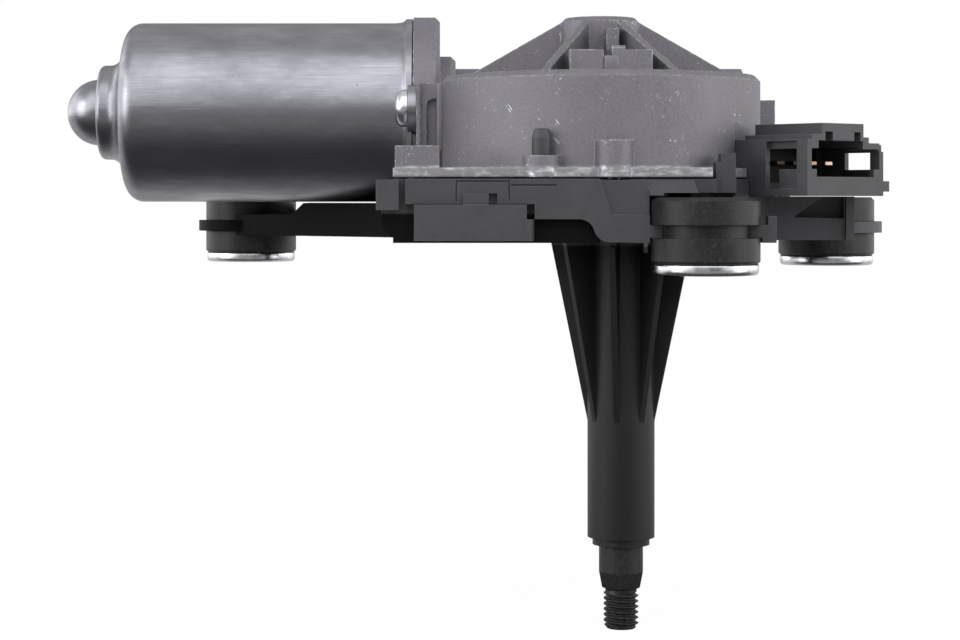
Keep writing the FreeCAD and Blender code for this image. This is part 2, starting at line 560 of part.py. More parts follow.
# Bearings of the armature and the end thrust screw
keep(along_motor(ring("front_bearing", "shaft_radius + running_gap", "front_bearing_radius",
                      "-bearing_left", "-bearing_right")), "front_bearing")
keep(along_motor(ring("end_bearing", "shaft_radius + running_gap", "end_bearing_radius",
                      "end_bearing_left", "end_bearing_right")), "end_bearing")
rear_bearing = turned("rear_bearing", [
    ("shaft_radius + running_gap", "-" + REAR_BEARING + " - rear_bearing_length / 2"),
    ("rear_bearing_radius - 1.4", "-" + REAR_BEARING + " - rear_bearing_length / 2"),
    ("rear_bearing_radius", "-" + REAR_BEARING + " - 1"), ("rear_bearing_radius", "-" + REAR_BEARING + " + 1"),
    ("rear_bearing_radius - 1.4", "-" + REAR_BEARING + " + rear_bearing_length / 2"),
    ("shaft_radius + running_gap", "-" + REAR_BEARING + " + rear_bearing_length / 2")])
keep(along_motor(rear_bearing), "rear_bearing")
keep(along_motor(ring("bearing_retainer", "rear_bearing_radius + 0.1", "can_boss_radius - can_wall - press_gap",
                      "-" + REAR_BEARING + " - 0.6", "-" + REAR_BEARING + " + 0.6")), "bearing_retainer")
ball = doc.addObject("Part::Sphere", "thrust_ball")
bind(ball, "Radius", "1.0")
place(ball, "-" + SHAFT_LEFT + " - 1.05", MOTOR_Y, "motor_z")
keep(ball, "thrust_ball")
thrust_screw = cut("thrust_screw", rod_along_x("screw_blank", "2.5", "shaft_right + 0.3", "lug_end - 0.4"),
                   [box("screw_slot", "lug_end - 1.6", "lug_end", MOTOR_Y + " - 0.4", MOTOR_Y + " + 0.4",
                        "motor_z - 3", "motor_z + 3")])
keep(thrust_screw, "thrust_screw")

# Motor can: deep drawn, with a stepped nose, a flared flange and two ears
FLANGE_BACK = "(adapter_face + 0.1)"
FLANGE_FRONT = "(adapter_face + 0.1 + can_flange)"


def rounded(start, end, steps=3):
    """Corners between two points of a profile, on a quarter of an oval that leaves along the axis."""
    corners = []
    for step in range(1, steps):
        angle = math.pi / 2 * step / steps
        corners.append(("%s + (%s - %s) * %.5f" % (end[0], start[0], end[0], math.cos(angle)),
                        "%s + (%s - %s) * %.5f" % (start[1], end[1], start[1], math.sin(angle))))
    return corners


CAN_SHOULDER = ("can_radius", "(-can_shoulder)")
CAN_CORNER = (CAN_FACE_RADIUS, "(-%s)" % CAN_FACE)
DOME_START = ("can_dome_radius", "(-%s)" % CAN_BOSS_END)
can_outer = turned("can_outer", [
    ("0", "-" + FLANGE_BACK), (CAN_FLANGE_RADIUS, "-" + FLANGE_BACK),
    (CAN_FLANGE_RADIUS, "-" + FLANGE_FRONT), ("can_radius + 0.4", "-" + FLANGE_FRONT),
    ("can_radius", "-can_flare"), CAN_SHOULDER] + rounded(CAN_SHOULDER, CAN_CORNER) + [
    CAN_CORNER, ("can_boss_radius + 2.4", "-" + CAN_FACE + " - 0.5"),
    ("can_boss_radius + 0.7", "-" + CAN_FACE + " - 1.2"), ("can_boss_radius", "-" + CAN_STEP + " - 0.9"),
    ("can_boss_radius", "-" + CAN_BOSS_END + " + 1.3"), ("can_boss_radius - 0.4", "-" + CAN_BOSS_END + " + 0.4"),
    ("can_boss_radius - 1.3", "-" + CAN_BOSS_END), DOME_START] + rounded(DOME_START, ("0", "(-%s)" % CAN_TIP)) + [
    ("0", "-" + CAN_TIP)])
can_inner = turned("can_inner", [
    ("0", "0"), ("can_radius - can_wall", "0"), ("can_radius - can_wall", "-can_shoulder"),
    (CAN_FACE_RADIUS + " - 1", "-" + CAN_FACE + " + can_wall"),
    ("can_boss_radius - can_wall", "-" + CAN_FACE + " + can_wall"),
    ("can_boss_radius - can_wall", "-" + CAN_BOSS_END + " + can_wall"),
    ("can_dome_radius - can_wall", "-" + CAN_BOSS_END + " + can_wall"),
    ("can_dome_radius - can_wall - 1", "-" + CAN_BOSS_END + " - 2"),
    ("3.2", "-" + CAN_TIP + " + can_wall"), ("0", "-" + CAN_TIP + " + can_wall")])
along_motor(can_outer)
along_motor(can_inner)
EAR_FRONT = "(adapter_face + 0.1 + can_flange - ear_recess)"
EAR_BACK = "(adapter_face + 0.1 - ear_recess)"
EAR_FACE_FRONT = "(%s - %s - ear_radius - free_gap)" % (MOTOR_Y, EAR_REACH)
ears = []
ear_holes = []
adapter_ears = []
screws = []
for side, sign in (("front", "-"), ("back", "+")):
    ear_y = "%s %s %s" % (MOTOR_Y, sign, EAR_REACH)
    ears.append(rod_along_x("can_ear_" + side, "ear_radius", "-" + EAR_FRONT, "-" + EAR_BACK, ear_y))
    ear_low, ear_high = (ear_y, MOTOR_Y) if sign == "-" else (MOTOR_Y, ear_y)
    ears.append(box("can_ear_web_" + side, "-" + EAR_FRONT, "-" + EAR_BACK, ear_low, ear_high,
                    "motor_z - ear_radius", "motor_z + ear_radius"))
    ear_holes.append(rod_along_x("can_ear_hole_" + side, "screw_radius + 0.1", "-can_flare", "-adapter_back",
                                 ear_y))
    block_low, block_high = ((EAR_FACE_FRONT, MOTOR_Y) if sign == "-" else
                             (MOTOR_Y, MOTOR_Y + " + %s + ear_radius + free_gap" % EAR_REACH))
    adapter_ears.append(box("adapter_ear_" + side, "-" + EAR_BACK + " + 0.1", "-adapter_back",
                            block_low, block_high, FLANGE_LOW, "motor_z + ear_radius + free_gap"))
    shank = rod_along_x("can_screw_shank_" + side, "screw_radius", "-" + EAR_FRONT + " - 0.5",
                        "-adapter_back + 1", ear_y)
    head = turned("can_screw_head_" + side, [
        ("0", "-%s - screw_head" % EAR_FRONT), ("screw_head_radius - 1.4", "-%s - screw_head" % EAR_FRONT),
        ("screw_head_radius - 0.4", "-%s - screw_head + 0.6" % EAR_FRONT),
        ("screw_head_radius", "-%s - screw_head + 1.5" % EAR_FRONT), ("screw_head_radius", "-" + EAR_FRONT),
        ("0", "-" + EAR_FRONT)])
    along_motor(head)
    bind(head, "Placement.Base.y", ear_y)
    screws.append(fused("can_screw_" + side, [shank, head]))
can_body = fused("can_body", [can_outer] + ears)
keep(cut("motor_can", can_body, [can_inner] + ear_holes), "motor_can")
keep(group("can_screws", screws), "can_screws")

# Magnets, with the springs that spread them against the can
for side, turn in (("upper", 90.0), ("lower", 270.0)):
    shell = doc.addObject("Part::Cylinder", "magnet_blank_" + side)
    core = doc.addObject("Part::Cylinder", "magnet_core_" + side)
    for item, radius, angle in ((shell, MAGNET_RADIUS, "magnet_angle"), (core, MAGNET_INNER, "360")):
        bind(item, "Radius", radius)
        bind(item, "Height", "magnet_left - magnet_right")
        bind(item, "Angle", angle)
        start = turn - value("magnet_angle") / 2
        rotation = FreeCAD.Rotation(FreeCAD.Vector(1, 0, 0), start - 90)
        item.Placement = FreeCAD.Placement(FreeCAD.Vector(), rotation.multiply(
            FreeCAD.Rotation(FreeCAD.Vector(0, 1, 0), 90)))
        bind(item, "Placement.Base.x", "-magnet_left")
        bind(item, "Placement.Base.y", MOTOR_Y)
        bind(item, "Placement.Base.z", "motor_z")
    keep(cut("magnet_" + side, shell, [core]), "magnet_" + side)

# Brush gear: a moulded plate in the housing's recess, with two holders, carbon brushes and springs
plate_left = "(adapter_face - 0.2)"
brush_blank = along_motor(ring("brush_plate_blank", "commutator_radius + 0.8", BRUSH_RECESS_RADIUS + " - press_gap",
                               "-" + plate_left, "-%s + 2" % plate_left))
keep(brush_blank, "brush_plate")
holders = []
brushes = []
springs = []
for side, sign in (("front", "-1"), ("back", "1")):
    reach = "commutator_radius + 1"
    far = BRUSH_RECESS_RADIUS + " - 0.5"

    def radial(text, sign=sign):
        return "%s + %s * (%s)" % (MOTOR_Y, sign, text)

    near_y, far_y = (radial(reach), radial(far)) if sign == "1" else (radial(far), radial(reach))
    shell = box("holder_blank_" + side, "-brush_place - 4.2", "-" + plate_left, near_y, far_y,
                "motor_z - 4", "motor_z + 4")
    hollow = box("holder_hollow_" + side, "-brush_place - 3.1", "-brush_place + 3.1",
                 MOTOR_Y + " - 30", MOTOR_Y + " + 30", "motor_z - 2.9", "motor_z + 2.9")
    holders.append(cut("holder_" + side, shell, [hollow]))
    near = "commutator_radius + 0.1"
    end = "commutator_radius + 7"
    low_y, high_y = (radial(near), radial(end)) if sign == "1" else (radial(end), radial(near))
    brush = box("brush_blank_" + side, "-brush_place - 3", "-brush_place + 3", low_y, high_y,
                "motor_z - 2.8", "motor_z + 2.8")
    round_face = rod_along_x("brush_face_" + side, "commutator_radius + 0.12", "-commutator_left - 1",
                             "-commutator_right + 1")
    brushes.append(cut("brush_" + side, brush, [round_face]))
    coil = turned("spring_" + side, [
        ("1.4", "commutator_radius + 7.1"), ("2.2", "commutator_radius + 7.1"),
        ("2.2", BRUSH_RECESS_RADIUS + " - 0.6"), ("1.4", BRUSH_RECESS_RADIUS + " - 0.6")])
    tilt = 90 if sign == "-1" else -90
    coil.Placement = FreeCAD.Placement(FreeCAD.Vector(), FreeCAD.Rotation(FreeCAD.Vector(1, 0, 0), tilt))
    bind(coil, "Placement.Base.x", "-brush_place")
    bind(coil, "Placement.Base.y", MOTOR_Y)
    bind(coil, "Placement.Base.z", "motor_z")
    springs.append(coil)
keep(group("brush_holders", holders), "brush_holders")
keep(group("brushes", brushes), "brushes")
keep(group("brush_springs", springs), "brush_springs")
chokes = []
for side, sign in (("upper", "+"), ("lower", "-")):
    chokes.append(rod_along_x("choke_" + side, "2.4", "-%s - 9" % plate_left, "-" + plate_left,
                              MOTOR_Y, "motor_z %s 13.2" % sign))
keep(group("chokes", chokes), "chokes")

# Gear housing, die cast: drum and hub
drum = turned("drum", [
    ("0", FLANGE_LOW), ("drum_radius", FLANGE_LOW), ("drum_radius", "drum_high - drum_edge"),
    ("drum_radius - drum_edge", "drum_high"), ("hub_radius + 0.5", "drum_high"),
    ("hub_radius", "hub_high - 1"), ("hub_radius - 1", "hub_high"), ("0", "hub_high")])
place(drum, "wheel_x", "wheel_y")
casting = [drum]

# Ribs from the hub: two along the motor, two pairs aslant and a stepped one at the front
for number, (turn, reach) in enumerate((("0", "32"), ("66", "36"), ("114", "36"))):
    rib = plate("hub_rib_%d" % number, [
        ("-" + reach, "drum_high - 0.5"), (reach, "drum_high - 0.5"), (reach, "drum_high"),
        ("hub_radius - 0.4", "rib_high"), ("-hub_radius + 0.4", "rib_high"), ("-" + reach, "drum_high")],
        "-rib_thickness / 2", "rib_thickness / 2", plane="XZ_Plane")
    casting.append(place(rib, "wheel_x", "wheel_y", axis=(0, 0, 1), angle=turn))
front_rib = plate("front_rib", [
    ("-33", "drum_high - 0.5"), ("0", "drum_high - 0.5"), ("0", "drum_high + 10.7"),
    ("-15", "drum_high + 10.7"), ("-15", "drum_high + 5.5"), ("-32.5", "drum_high + 5.5"),
    ("-33", "drum_high + 5")], "-1.5", "1.5", plane="YZ_Plane")
casting.append(place(front_rib, "wheel_x + 1.9", "wheel_y"))
for number, (left, right) in enumerate((("-9.1", "-1.5"), ("2.2", "9.5"))):
    casting.append(box("front_pad_%d" % number, "wheel_x + " + left, "wheel_x + " + right,
                       "wheel_y - 33", "wheel_y - 24", "drum_high - 0.5", "drum_high + 4.6"))
casting.append(box("hub_facet", "wheel_x - 3.7", "wheel_x + 3.7", "wheel_y - hub_radius - 0.4", "wheel_y",
                   "drum_high - 0.5", "hub_high - 1"))

# Flange plate round the drum and under the motor neck
casting.append(plate("flange", [
    ("-carrier_left", "-flange_front"), ("18.7", "-flange_front"),
    ("18.7", "wheel_y - (" + CARRIER_ROUND + " - 0.6) * sin(48)"),
    ("wheel_x + (" + CARRIER_ROUND + " - 0.6) * cos(48)", "wheel_y - (" + CARRIER_ROUND + " - 0.6) * sin(48)",
     CARRIER_ROUND + " - 0.6"),
    ("wheel_x + (" + CARRIER_ROUND + " - 0.6) * cos(26)", "wheel_y + (" + CARRIER_ROUND + " - 0.6) * sin(26)"),
    ("tunnel_end + 3", "wheel_y + (" + CARRIER_ROUND + " - 0.6) * sin(26)"), ("tunnel_end + 3", "carrier_back - 0.5"),
    ("-carrier_left", "carrier_back - 0.5")],
    FLANGE_LOW, FLANGE_LOW + " + flange_thickness"))

# Worm tunnel with its end lug, the collar and the adapter that the can is screwed to
casting.append(rod_along_x("tunnel", "tunnel_radius", "-adapter_back - 1", "tunnel_end"))
casting.append(box("tunnel_foot", "-adapter_back - 1", "tunnel_end", MOTOR_Y + " - tunnel_radius",
                   MOTOR_Y + " + tunnel_radius", FLANGE_LOW, "motor_z"))
casting.append(box("end_lug", "tunnel_end - 3", "lug_end", MOTOR_Y + " - 5.5", MOTOR_Y + " + 5.5",
                   "motor_z - 5.5", "motor_z + 2.9"))
collar = turned("collar", [
    ("0", "-adapter_back - 1"), ("collar_radius", "-adapter_back - 1"),
    ("collar_radius", "-collar_end - casting_edge"),
    ("collar_radius - casting_edge", "-collar_end"), ("0", "-collar_end")])
adapter = turned("adapter", [
    ("0", "-adapter_face"), (ADAPTER_RADIUS, "-adapter_face"),
    (ADAPTER_RADIUS, "-adapter_back - casting_edge"),
    (ADAPTER_RADIUS + " - casting_edge", "-adapter_back"), ("0", "-adapter_back")])
casting += [along_motor(collar), along_motor(adapter)]
casting.append(box("neck", "-adapter_back - 1", "wheel_x - drum_radius + 4", "wheel_y", MOTOR_Y,
                   FLANGE_LOW, "drum_high - casting_edge"))
casting += adapter_ears

# Lugs on the flange: a corner block, a lug for the carrier's pin and a round screw boss
casting.append(box("corner_block", "-carrier_left + 0.4", "-carrier_left + 10.2", "-flange_front + 1",
                   "-flange_front + 11", FLANGE_LOW, "28.6"))
PIN_X = "-19"
PIN_Y = "-17"
BOSS_X = "-2.9"
BOSS_Y = "-17.8"
casting.append(rod("pin_boss", "pin_radius + 2.1", FLANGE_LOW, "26.4", PIN_X, PIN_Y))
casting.append(box("pin_lug", PIN_X, PIN_X + " + 5.9", PIN_Y + " + 1", "wheel_y - 30", FLANGE_LOW, "26.4"))
casting.append(rod("screw_boss", "4.3", FLANGE_LOW, "29.8", BOSS_X, BOSS_Y))
SCREW_SPOTS = [(BOSS_X, BOSS_Y), ("-46.7", "-14.5"), ("-35.5", "56.5"), ("29", "57"), ("37.8", "22")]
casting.append(rod("right_boss", "4.4", FLANGE_LOW, "27", "37.8", "22"))
casting.append(rod("right_lobe", "5.4", FLANGE_LOW, FLANGE_LOW + " + flange_thickness", "37.8", "22"))


def plug_room(name):
    """The room that the connector takes, with a small gap all round."""
    room = box(name, "-plug_length - 0.2", "0.2", "-plug_width / 2 - 0.2", "plug_width / 2 + 0.2",
               "plug_low - 0.1", "plug_rail_high")
    return place(group(name + "_turned", [room]), "plug_x", "plug_y", axis=(0, 0, 1), angle="-plug_turn")


hollow = [
    plug_room("housing_plug_room"),
    box("ear_pocket", "-adapter_face - 1", "-%s + 0.1" % EAR_BACK, MOTOR_Y + " - " + EAR_REACH,
        MOTOR_Y + " + " + EAR_REACH, "motor_z - ear_radius - free_gap", "motor_z + ear_radius + free_gap"),
    rod_along_x("can_seat_room", CAN_FLANGE_RADIUS + " + 0.4", "-carrier_left - 5", "-adapter_face"),
    rod("drum_hollow", "drum_radius - drum_wall", FLANGE_LOW + " - 1", CEILING, "wheel_x", "wheel_y"),
    rod("axle_hole", "axle_radius + press_gap", CEILING + " - 1", "axle_high + 0.2", "wheel_x", "wheel_y"),
    rod_along_x("tunnel_hollow", "tunnel_bore", "-bearing_left", "shaft_right + free_gap"),
    rod_along_x("front_bearing_seat", "front_bearing_radius + press_gap", "-adapter_face",
                "-bearing_right"),
    rod_along_x("brush_recess_hollow", BRUSH_RECESS_RADIUS, "-adapter_face - 1",
                "-adapter_face + brush_recess"),
    rod_along_x("thrust_hole", "2.52", "end_bearing_right", "lug_end + 1"),
]
for number, (x, y) in enumerate(SCREW_SPOTS):
    hollow.append(rod("housing_screw_hole_%d" % number, "2.0 + press_gap", FLANGE_LOW + " - 1", "26.2", x, y))
hollow.append(box("ear_step", "-adapter_face + 2", "-adapter_back + 0.1", EAR_FACE_FRONT + " - 1",
                  EAR_FACE_FRONT + " + 1.3", "28.6", "motor_z + 8"))
hollow.append(plate("ear_pocket_outline", [
    ("-44.7", "28.6"), ("-adapter_back + 0.5", "28.6"), ("-adapter_back + 0.5", "40.4"), ("-43.3", "40.4", "1.4"),
    ("-44.7", "39")], EAR_FACE_FRONT + " - 1", EAR_FACE_FRONT + " + 3", plane="XZ_Plane"))
hollow.append(rod("pin_hole", "pin_radius + running_gap", FLANGE_LOW + " - 1", "30", PIN_X, PIN_Y))
for side, sign in (("front", "-"), ("back", "+")):
    hollow.append(rod_along_x("can_screw_hole_" + side, "screw_radius + press_gap", "-adapter_face",
                              "-adapter_back + 1.4", "%s %s %s" % (MOTOR_Y, sign, EAR_REACH)))
end_seat = ring("end_bearing_block", "end_bearing_radius + press_gap", "tunnel_bore + 0.5",
                "end_bearing_left", "end_bearing_right")
along_motor(end_seat)
housing_rough = cut("housing_rough", fused("casting_rough", casting), hollow)
keep(fused("gear_housing", [housing_rough, end_seat]), "gear_housing")
gasket_ring = place(ring("gasket_ring", "drum_radius - drum_wall + 0.2", "drum_radius - 0.2",
                         "carrier_high", FLANGE_LOW), "wheel_x", "wheel_y")
gasket_notch = rod("gasket_notch", "2.2", "carrier_high - 1", FLANGE_LOW + " + 1", BOSS_X, BOSS_Y)
keep(cut("gasket_whole", gasket_ring, [gasket_notch, plug_room("gasket_plug_room")]), "housing_gasket")

# Carrier: one black moulding with the floor of the gearbox, a skirt, the three forks and the tower
carrier_outline = [
    ("-carrier_left", "-carrier_front"), ("19.4", "-carrier_front"),
    ("wheel_x + " + CARRIER_ROUND + " * cos(48)", "wheel_y - " + CARRIER_ROUND + " * sin(48)", CARRIER_ROUND),
    ("wheel_x + " + CARRIER_ROUND + " * cos(26)", "wheel_y + " + CARRIER_ROUND + " * sin(26)"),
    ("tunnel_end + 4", "wheel_y + " + CARRIER_ROUND + " * sin(26)"), ("tunnel_end + 4", "carrier_back"),
    ("-carrier_left", "carrier_back")]
inner_outline = [
    ("-carrier_left + carrier_wall", "-carrier_front + carrier_wall"), ("18", "-carrier_front + carrier_wall"),
    ("wheel_x + (" + CARRIER_ROUND + " - carrier_wall) * cos(47)",
     "wheel_y - (" + CARRIER_ROUND + " - carrier_wall) * sin(47)", CARRIER_ROUND + " - carrier_wall"),
    ("wheel_x + (" + CARRIER_ROUND + " - carrier_wall) * cos(28)",
     "wheel_y + (" + CARRIER_ROUND + " - carrier_wall) * sin(28)"),
    ("tunnel_end + 4 - carrier_wall", "wheel_y + (" + CARRIER_ROUND + " - carrier_wall) * sin(28)"),
    ("tunnel_end + 4 - carrier_wall", "carrier_back - carrier_wall"),
    ("-carrier_left + carrier_wall", "carrier_back - carrier_wall")]
block = plate("carrier_block", carrier_outline, "carrier_low", "carrier_high")
under = plate("carrier_under", inner_outline, "carrier_low - 1", FLOOR_LOW)
moulding = [cut("carrier_tray", block, [under])]
for number, (x1, x2, y1, y2) in enumerate((
        ("-carrier_left + 1", "-14", "0", "rib_wall"), ("-carrier_left + 1", "26", "34", "34 + rib_wall"),
        ("-30", "rib_wall - 30", "14", "carrier_back - 1"), ("0", "rib_wall", "14", "carrier_back - 1"))):
    moulding.append(box("floor_rib_%d" % number, x1, x2, y1, y2, "carrier_low + 3", FLOOR_LOW + " + 0.5"))

# Front skirt with its sweep, the panel beside the spindle and a slanted facet over the front mount
skirt = plate("skirt", [
    ("-skirt_left", "carrier_high"), ("-skirt_left", "cover_high + 0.1"),
    ("0.1 - cover_right", "cover_high + 0.1"), ("0.1 - cover_right", "skirt_edge"),
    ("-sweep_left", "skirt_edge", "-sweep_radius"),
    ("-(sweep_left + sweep_right) / 2", "(skirt_edge + carrier_low + 0.2) / 2", "sweep_radius"),
    ("-sweep_right", "carrier_low + 0.2"), ("3.6", "carrier_low + 0.2"), ("3.6", "panel_low"),
    ("-3.9", "panel_low"), ("-6.5", "carrier_high")],
    "-skirt_front", "-carrier_front + 0.5", plane="XZ_Plane")
seams = [
    box("seam_left", "-38.2", "seam_width - 38.2", "-skirt_front - 1", "-skirt_front + 0.5", "16.1", "carrier_high"),
    box("seam_upper", "-38.2", "-26.6", "-skirt_front - 1", "-skirt_front + 0.5", "20.45", "20.45 + seam_width"),
    box("seam_middle", "-26.6", "seam_width - 26.6", "-skirt_front - 1", "-skirt_front + 0.5", "16.6",
        "20.45 + seam_width"),
    box("seam_right", "-26", "-16", "-skirt_front - 1", "-skirt_front + 0.5", "19.6", "19.6 + seam_width"),
    box("skirt_slot", "-30.9", "-29", "-skirt_front - 1", "-skirt_front + 1.6", "cover_high + 0.1", "17.95"),
]
moulding.append(cut("skirt_grooved", skirt, seams))
moulding.append(box("panel", "-8", "4.6", "-skirt_front + 0.6", "-carrier_front + 0.5", "panel_low - 0.3",
                    "carrier_high - 0.3"))
facet = plate("facet_block", [
    ("2.3", "-carrier_front + 0.2"), ("4.9", "-24.3"), ("15.2", "-24.3"), ("14.1", "-carrier_front + 0.2")],
    "rubber_high + 0.35", "carrier_high - 0.3")
facet_slant = plate("facet_slant", [
    ("-20.4", "21.3"), ("-24.5", "17.6"), ("-26", "17.6"), ("-26", "21.3")], "0", "18", plane="YZ_Plane")
moulding.append(cut("facet", facet, [facet_slant]))
right_arm = plate("right_arm", [
    ("30", "3"), ("54", "3"), ("54", "46"), ("46", "carrier_back"), ("30", "carrier_back")],
    "carrier_low + 0.2", "plug_low - 0.1")
right_under = plate("right_arm_under", [
    ("34", "9"), ("52", "9"), ("52", "40"), ("40", "44"), ("36", "36")],
    "carrier_low - 1", "plug_low - 3")
right_pocket = plate("right_arm_pocket", [
    ("40", "12.5"), ("51.8", "12.2"), ("51.8", "plug_low + 0.2"), ("47.5", "plug_low + 0.2")],
    "2", "7.5", plane="XZ_Plane")
moulding.append(cut("right_arm_tray", right_arm, [right_under, right_pocket]))
moulding.append(box("right_fin", "52", "53.9", "1.2", "3.1", "carrier_low + 0.2", "plug_low - 0.1"))
left_arm = plate("left_arm", [
    ("-carrier_left + 1", "34"), ("-carrier_left + 1", "carrier_back"), ("mount_left_x + 7.5", "mount_left_y + 8"),
    ("mount_left_x - 7.5", "mount_left_y - 8")], "carrier_low + 0.2", "15.6")
left_under = plate("left_arm_under", [
    ("-carrier_left - 4", "40"), ("-carrier_left - 4", "carrier_back - 4"),
    ("mount_left_x + 14", "mount_left_y - 2"), ("mount_left_x + 6", "mount_left_y - 11")],
    "carrier_low - 1", "12.6")
left_ramp = plate("left_ramp", [
    ("-100", "12.6"), ("-79.7", "12.6"), ("-75", "17"), ("-100", "17")], "30", "110", plane="XZ_Plane")
moulding.append(cut("left_arm_tray", left_arm, [left_under, left_ramp]))
corner_x = "-carrier_left + 1.3"
moulding.append(box("corner_cheek", "-carrier_left - 3.7", corner_x, "-skirt_front", "-carrier_front + 8",
                    "14.3", "carrier_high - 0.2"))
moulding.append(plate("corner_foot", [
    ("-carrier_left - 2.6", "14.4"), ("-carrier_left - 2.6", "10.5"), ("-carrier_left + 1.1", "carrier_low + 0.2"),
    ("-carrier_left + 6", "carrier_low + 0.2"), ("-carrier_left + 6", "14.4")],
    "-carrier_front + 0.6", "-carrier_front + 9.6", plane="XZ_Plane"))
for number, (left, high) in enumerate((("18.9", "carrier_high - 0.3"), ("19.85", "24.9"), ("21", "26.9"))):
    moulding.append(box("connector_boss_%d" % number, left, "24.3", "-16.5", "-11.2", "carrier_low", high))

# Webs and spindle tube
webs = []
for number in range(int(value("web_count"))):
    web = plate("web_%d" % number, [
        ("0", "-web_end"), ("tower_radius - 0.2", "-web_end"), ("web_reach", "carrier_low"),
        ("web_reach", FLOOR_LOW + " + 0.5"), ("0", FLOOR_LOW + " + 0.5")],
        "-web_thickness / 2", "web_thickness / 2", plane="XZ_Plane")
    turn = "-90 - web_turn + %d * 360 / web_count" % number
    webs.append(place(web, axis=(0, 0, 1), angle=turn))
moulding += webs
moulding.append(rod("tower_tube", "tower_radius", "-tower_end", FLOOR_LOW + " + 0.5"))
for number, (x, y) in enumerate(SCREW_SPOTS):
    moulding.append(rod("screw_pillar_%d" % number, "4.4", "13", FLOOR_LOW + " + 0.5", x, y))

# Forks that hold the rubber mounts in their grooves: each embraces a little more than half a
# neck, the front one with a deep rim and small posts on its two ends
MOUNTS = (("front", "-90", "fork_radius"), ("right", "90", "fork_radius_back"), ("left", "90", "fork_radius_back"))
clearances = []
for side, mouth, radius in MOUNTS:
    x = "mount_%s_x" % side
    y = "mount_%s_y" % side
    moulding.append(rod("fork_" + side, radius, "groove_low + 0.05", "groove_high - 0.05", x, y))
    clearances.append(rod("fork_bore_" + side, "rubber_neck + 0.1", "0", "rubber_high + 1", x, y))
    for level, low, high in (("low", "0.5", "groove_low + 0.05"),
                             ("high", "groove_high - 0.05", "rubber_high + 0.3")):
        clearances.append(rod("rubber_room_%s_%s" % (level, side), "rubber_radius + 0.4", low, high, x, y))
    opening = box("fork_mouth_" + side, "fork_wrap", "fork_radius + 1", "-fork_radius - 1", "fork_radius + 1",
                  "4", "groove_high")
    clearances.append(place(group("fork_mouth_turned_" + side, [opening]), x, y, axis=(0, 0, 1), angle=mouth))
FRONT_LEFT = "(mount_front_x - fork_radius)"
FRONT_RIGHT = "(mount_front_x + fork_radius)"
FORK_END = "(mount_front_y - fork_wrap)"
moulding += [
    rod("fork_rim", "fork_radius", "fork_low", "groove_high - 0.05", "mount_front_x", "mount_front_y"),
    box("fork_post_left", FRONT_LEFT + " + 2", FRONT_LEFT + " + 4.6", FORK_END, FORK_END + " + 2",
        "groove_high - 0.2", "groove_high + 2"),
    box("fork_post_right", FRONT_RIGHT + " - 1.9", FRONT_RIGHT, FORK_END, FORK_END + " + 4",
        "groove_high - 0.2", "groove_high + 1.9"),
    box("fork_peg", FRONT_LEFT + " + 1.9", FRONT_LEFT + " + 2.7", FORK_END, FORK_END + " + 3",
        "fork_low - 2.2", "fork_low + 0.2"),
]

clearances += [
    rod("upper_bush_seat", BUSH_RADIUS + " + press_gap", "carrier_high - bush_length", "carrier_high + 5"),
    rod("lower_bush_seat", BUSH_RADIUS + " + press_gap", "-tower_end - 1", "bush_length - tower_end"),
    rod("spindle_room", "journal_radius + 0.5", "-tower_end - 1", "carrier_high + 5"),
    rod_along_x("can_room", "can_radius + 0.4", "-140", "-can_flare + 1"),
    rod_along_x("adapter_room", ADAPTER_RADIUS + " + 0.4", "-can_flare - 0.3", "-adapter_back + 0.3"),
    plug_room("carrier_plug_room"),
]
pins = []
for number, (x, y) in enumerate(SCREW_SPOTS):
    clearances.append(rod("carrier_screw_hole_%d" % number, "2.2", "carrier_low - 1", "carrier_high + 1", x, y))
    clearances.append(rod("screw_head_room_%d" % number, "3.8", "carrier_low - 1", "15.5", x, y))
    shank = rod("carrier_shank_%d" % number, "2.0", "15.3", "26.0", x, y)
    head = rod("carrier_head_%d" % number, "3.6", "13.0", "15.45", x, y)
    pins.append(fused("carrier_screw_%d" % number, [shank, head]))
keep(group("carrier_screws", pins), "carrier_screws")
clearances.append(rod("locating_pin_hole", "pin_radius + press_gap", "carrier_low - 1", "carrier_high + 1", PIN_X, PIN_Y))
keep(cut("base_carrier", fused("carrier_rough", moulding), clearances), "base_carrier")
locating_pin = turned("locating_pin", [
    ("0", FLOOR_LOW), ("pin_radius", FLOOR_LOW), ("pin_radius", "30.4"), ("pin_radius - 0.5", "32.2"),
    ("pin_radius - 1", "32.4"), ("0", "32.4")])
keep(place(locating_pin, PIN_X, PIN_Y), "locating_pin")

# Rubber mounts and their steel sleeves
for side, mouth, radius in MOUNTS:
    x = "mount_%s_x" % side
    y = "mount_%s_y" % side
    grommet = turned("grommet_" + side, [
        ("sleeve_radius + press_gap", "rubber_low"), ("rubber_radius - 0.6", "rubber_low"),
        ("rubber_radius", "rubber_low + 0.6"), ("rubber_radius", "groove_low"), ("rubber_neck", "groove_low"),
        ("rubber_neck", "groove_high"), ("rubber_radius", "groove_high"),
        ("rubber_radius", "rubber_high - 0.8"), ("rubber_radius - 0.8", "rubber_high"),
        ("sleeve_radius + press_gap", "rubber_high")])
    keep(place(grommet, x, y), "grommet_" + side)
    sleeve = turned("sleeve_" + side, [
        ("sleeve_bore", "0"), ("sleeve_flange_radius - sleeve_edge", "0"),
        ("sleeve_flange_radius", "sleeve_edge"), ("sleeve_flange_radius", "sleeve_flange"),
        ("sleeve_radius", "sleeve_flange"), ("sleeve_radius", "sleeve_high"), ("sleeve_bore", "sleeve_high")])
    keep(place(sleeve, x, y), "sleeve_" + side)

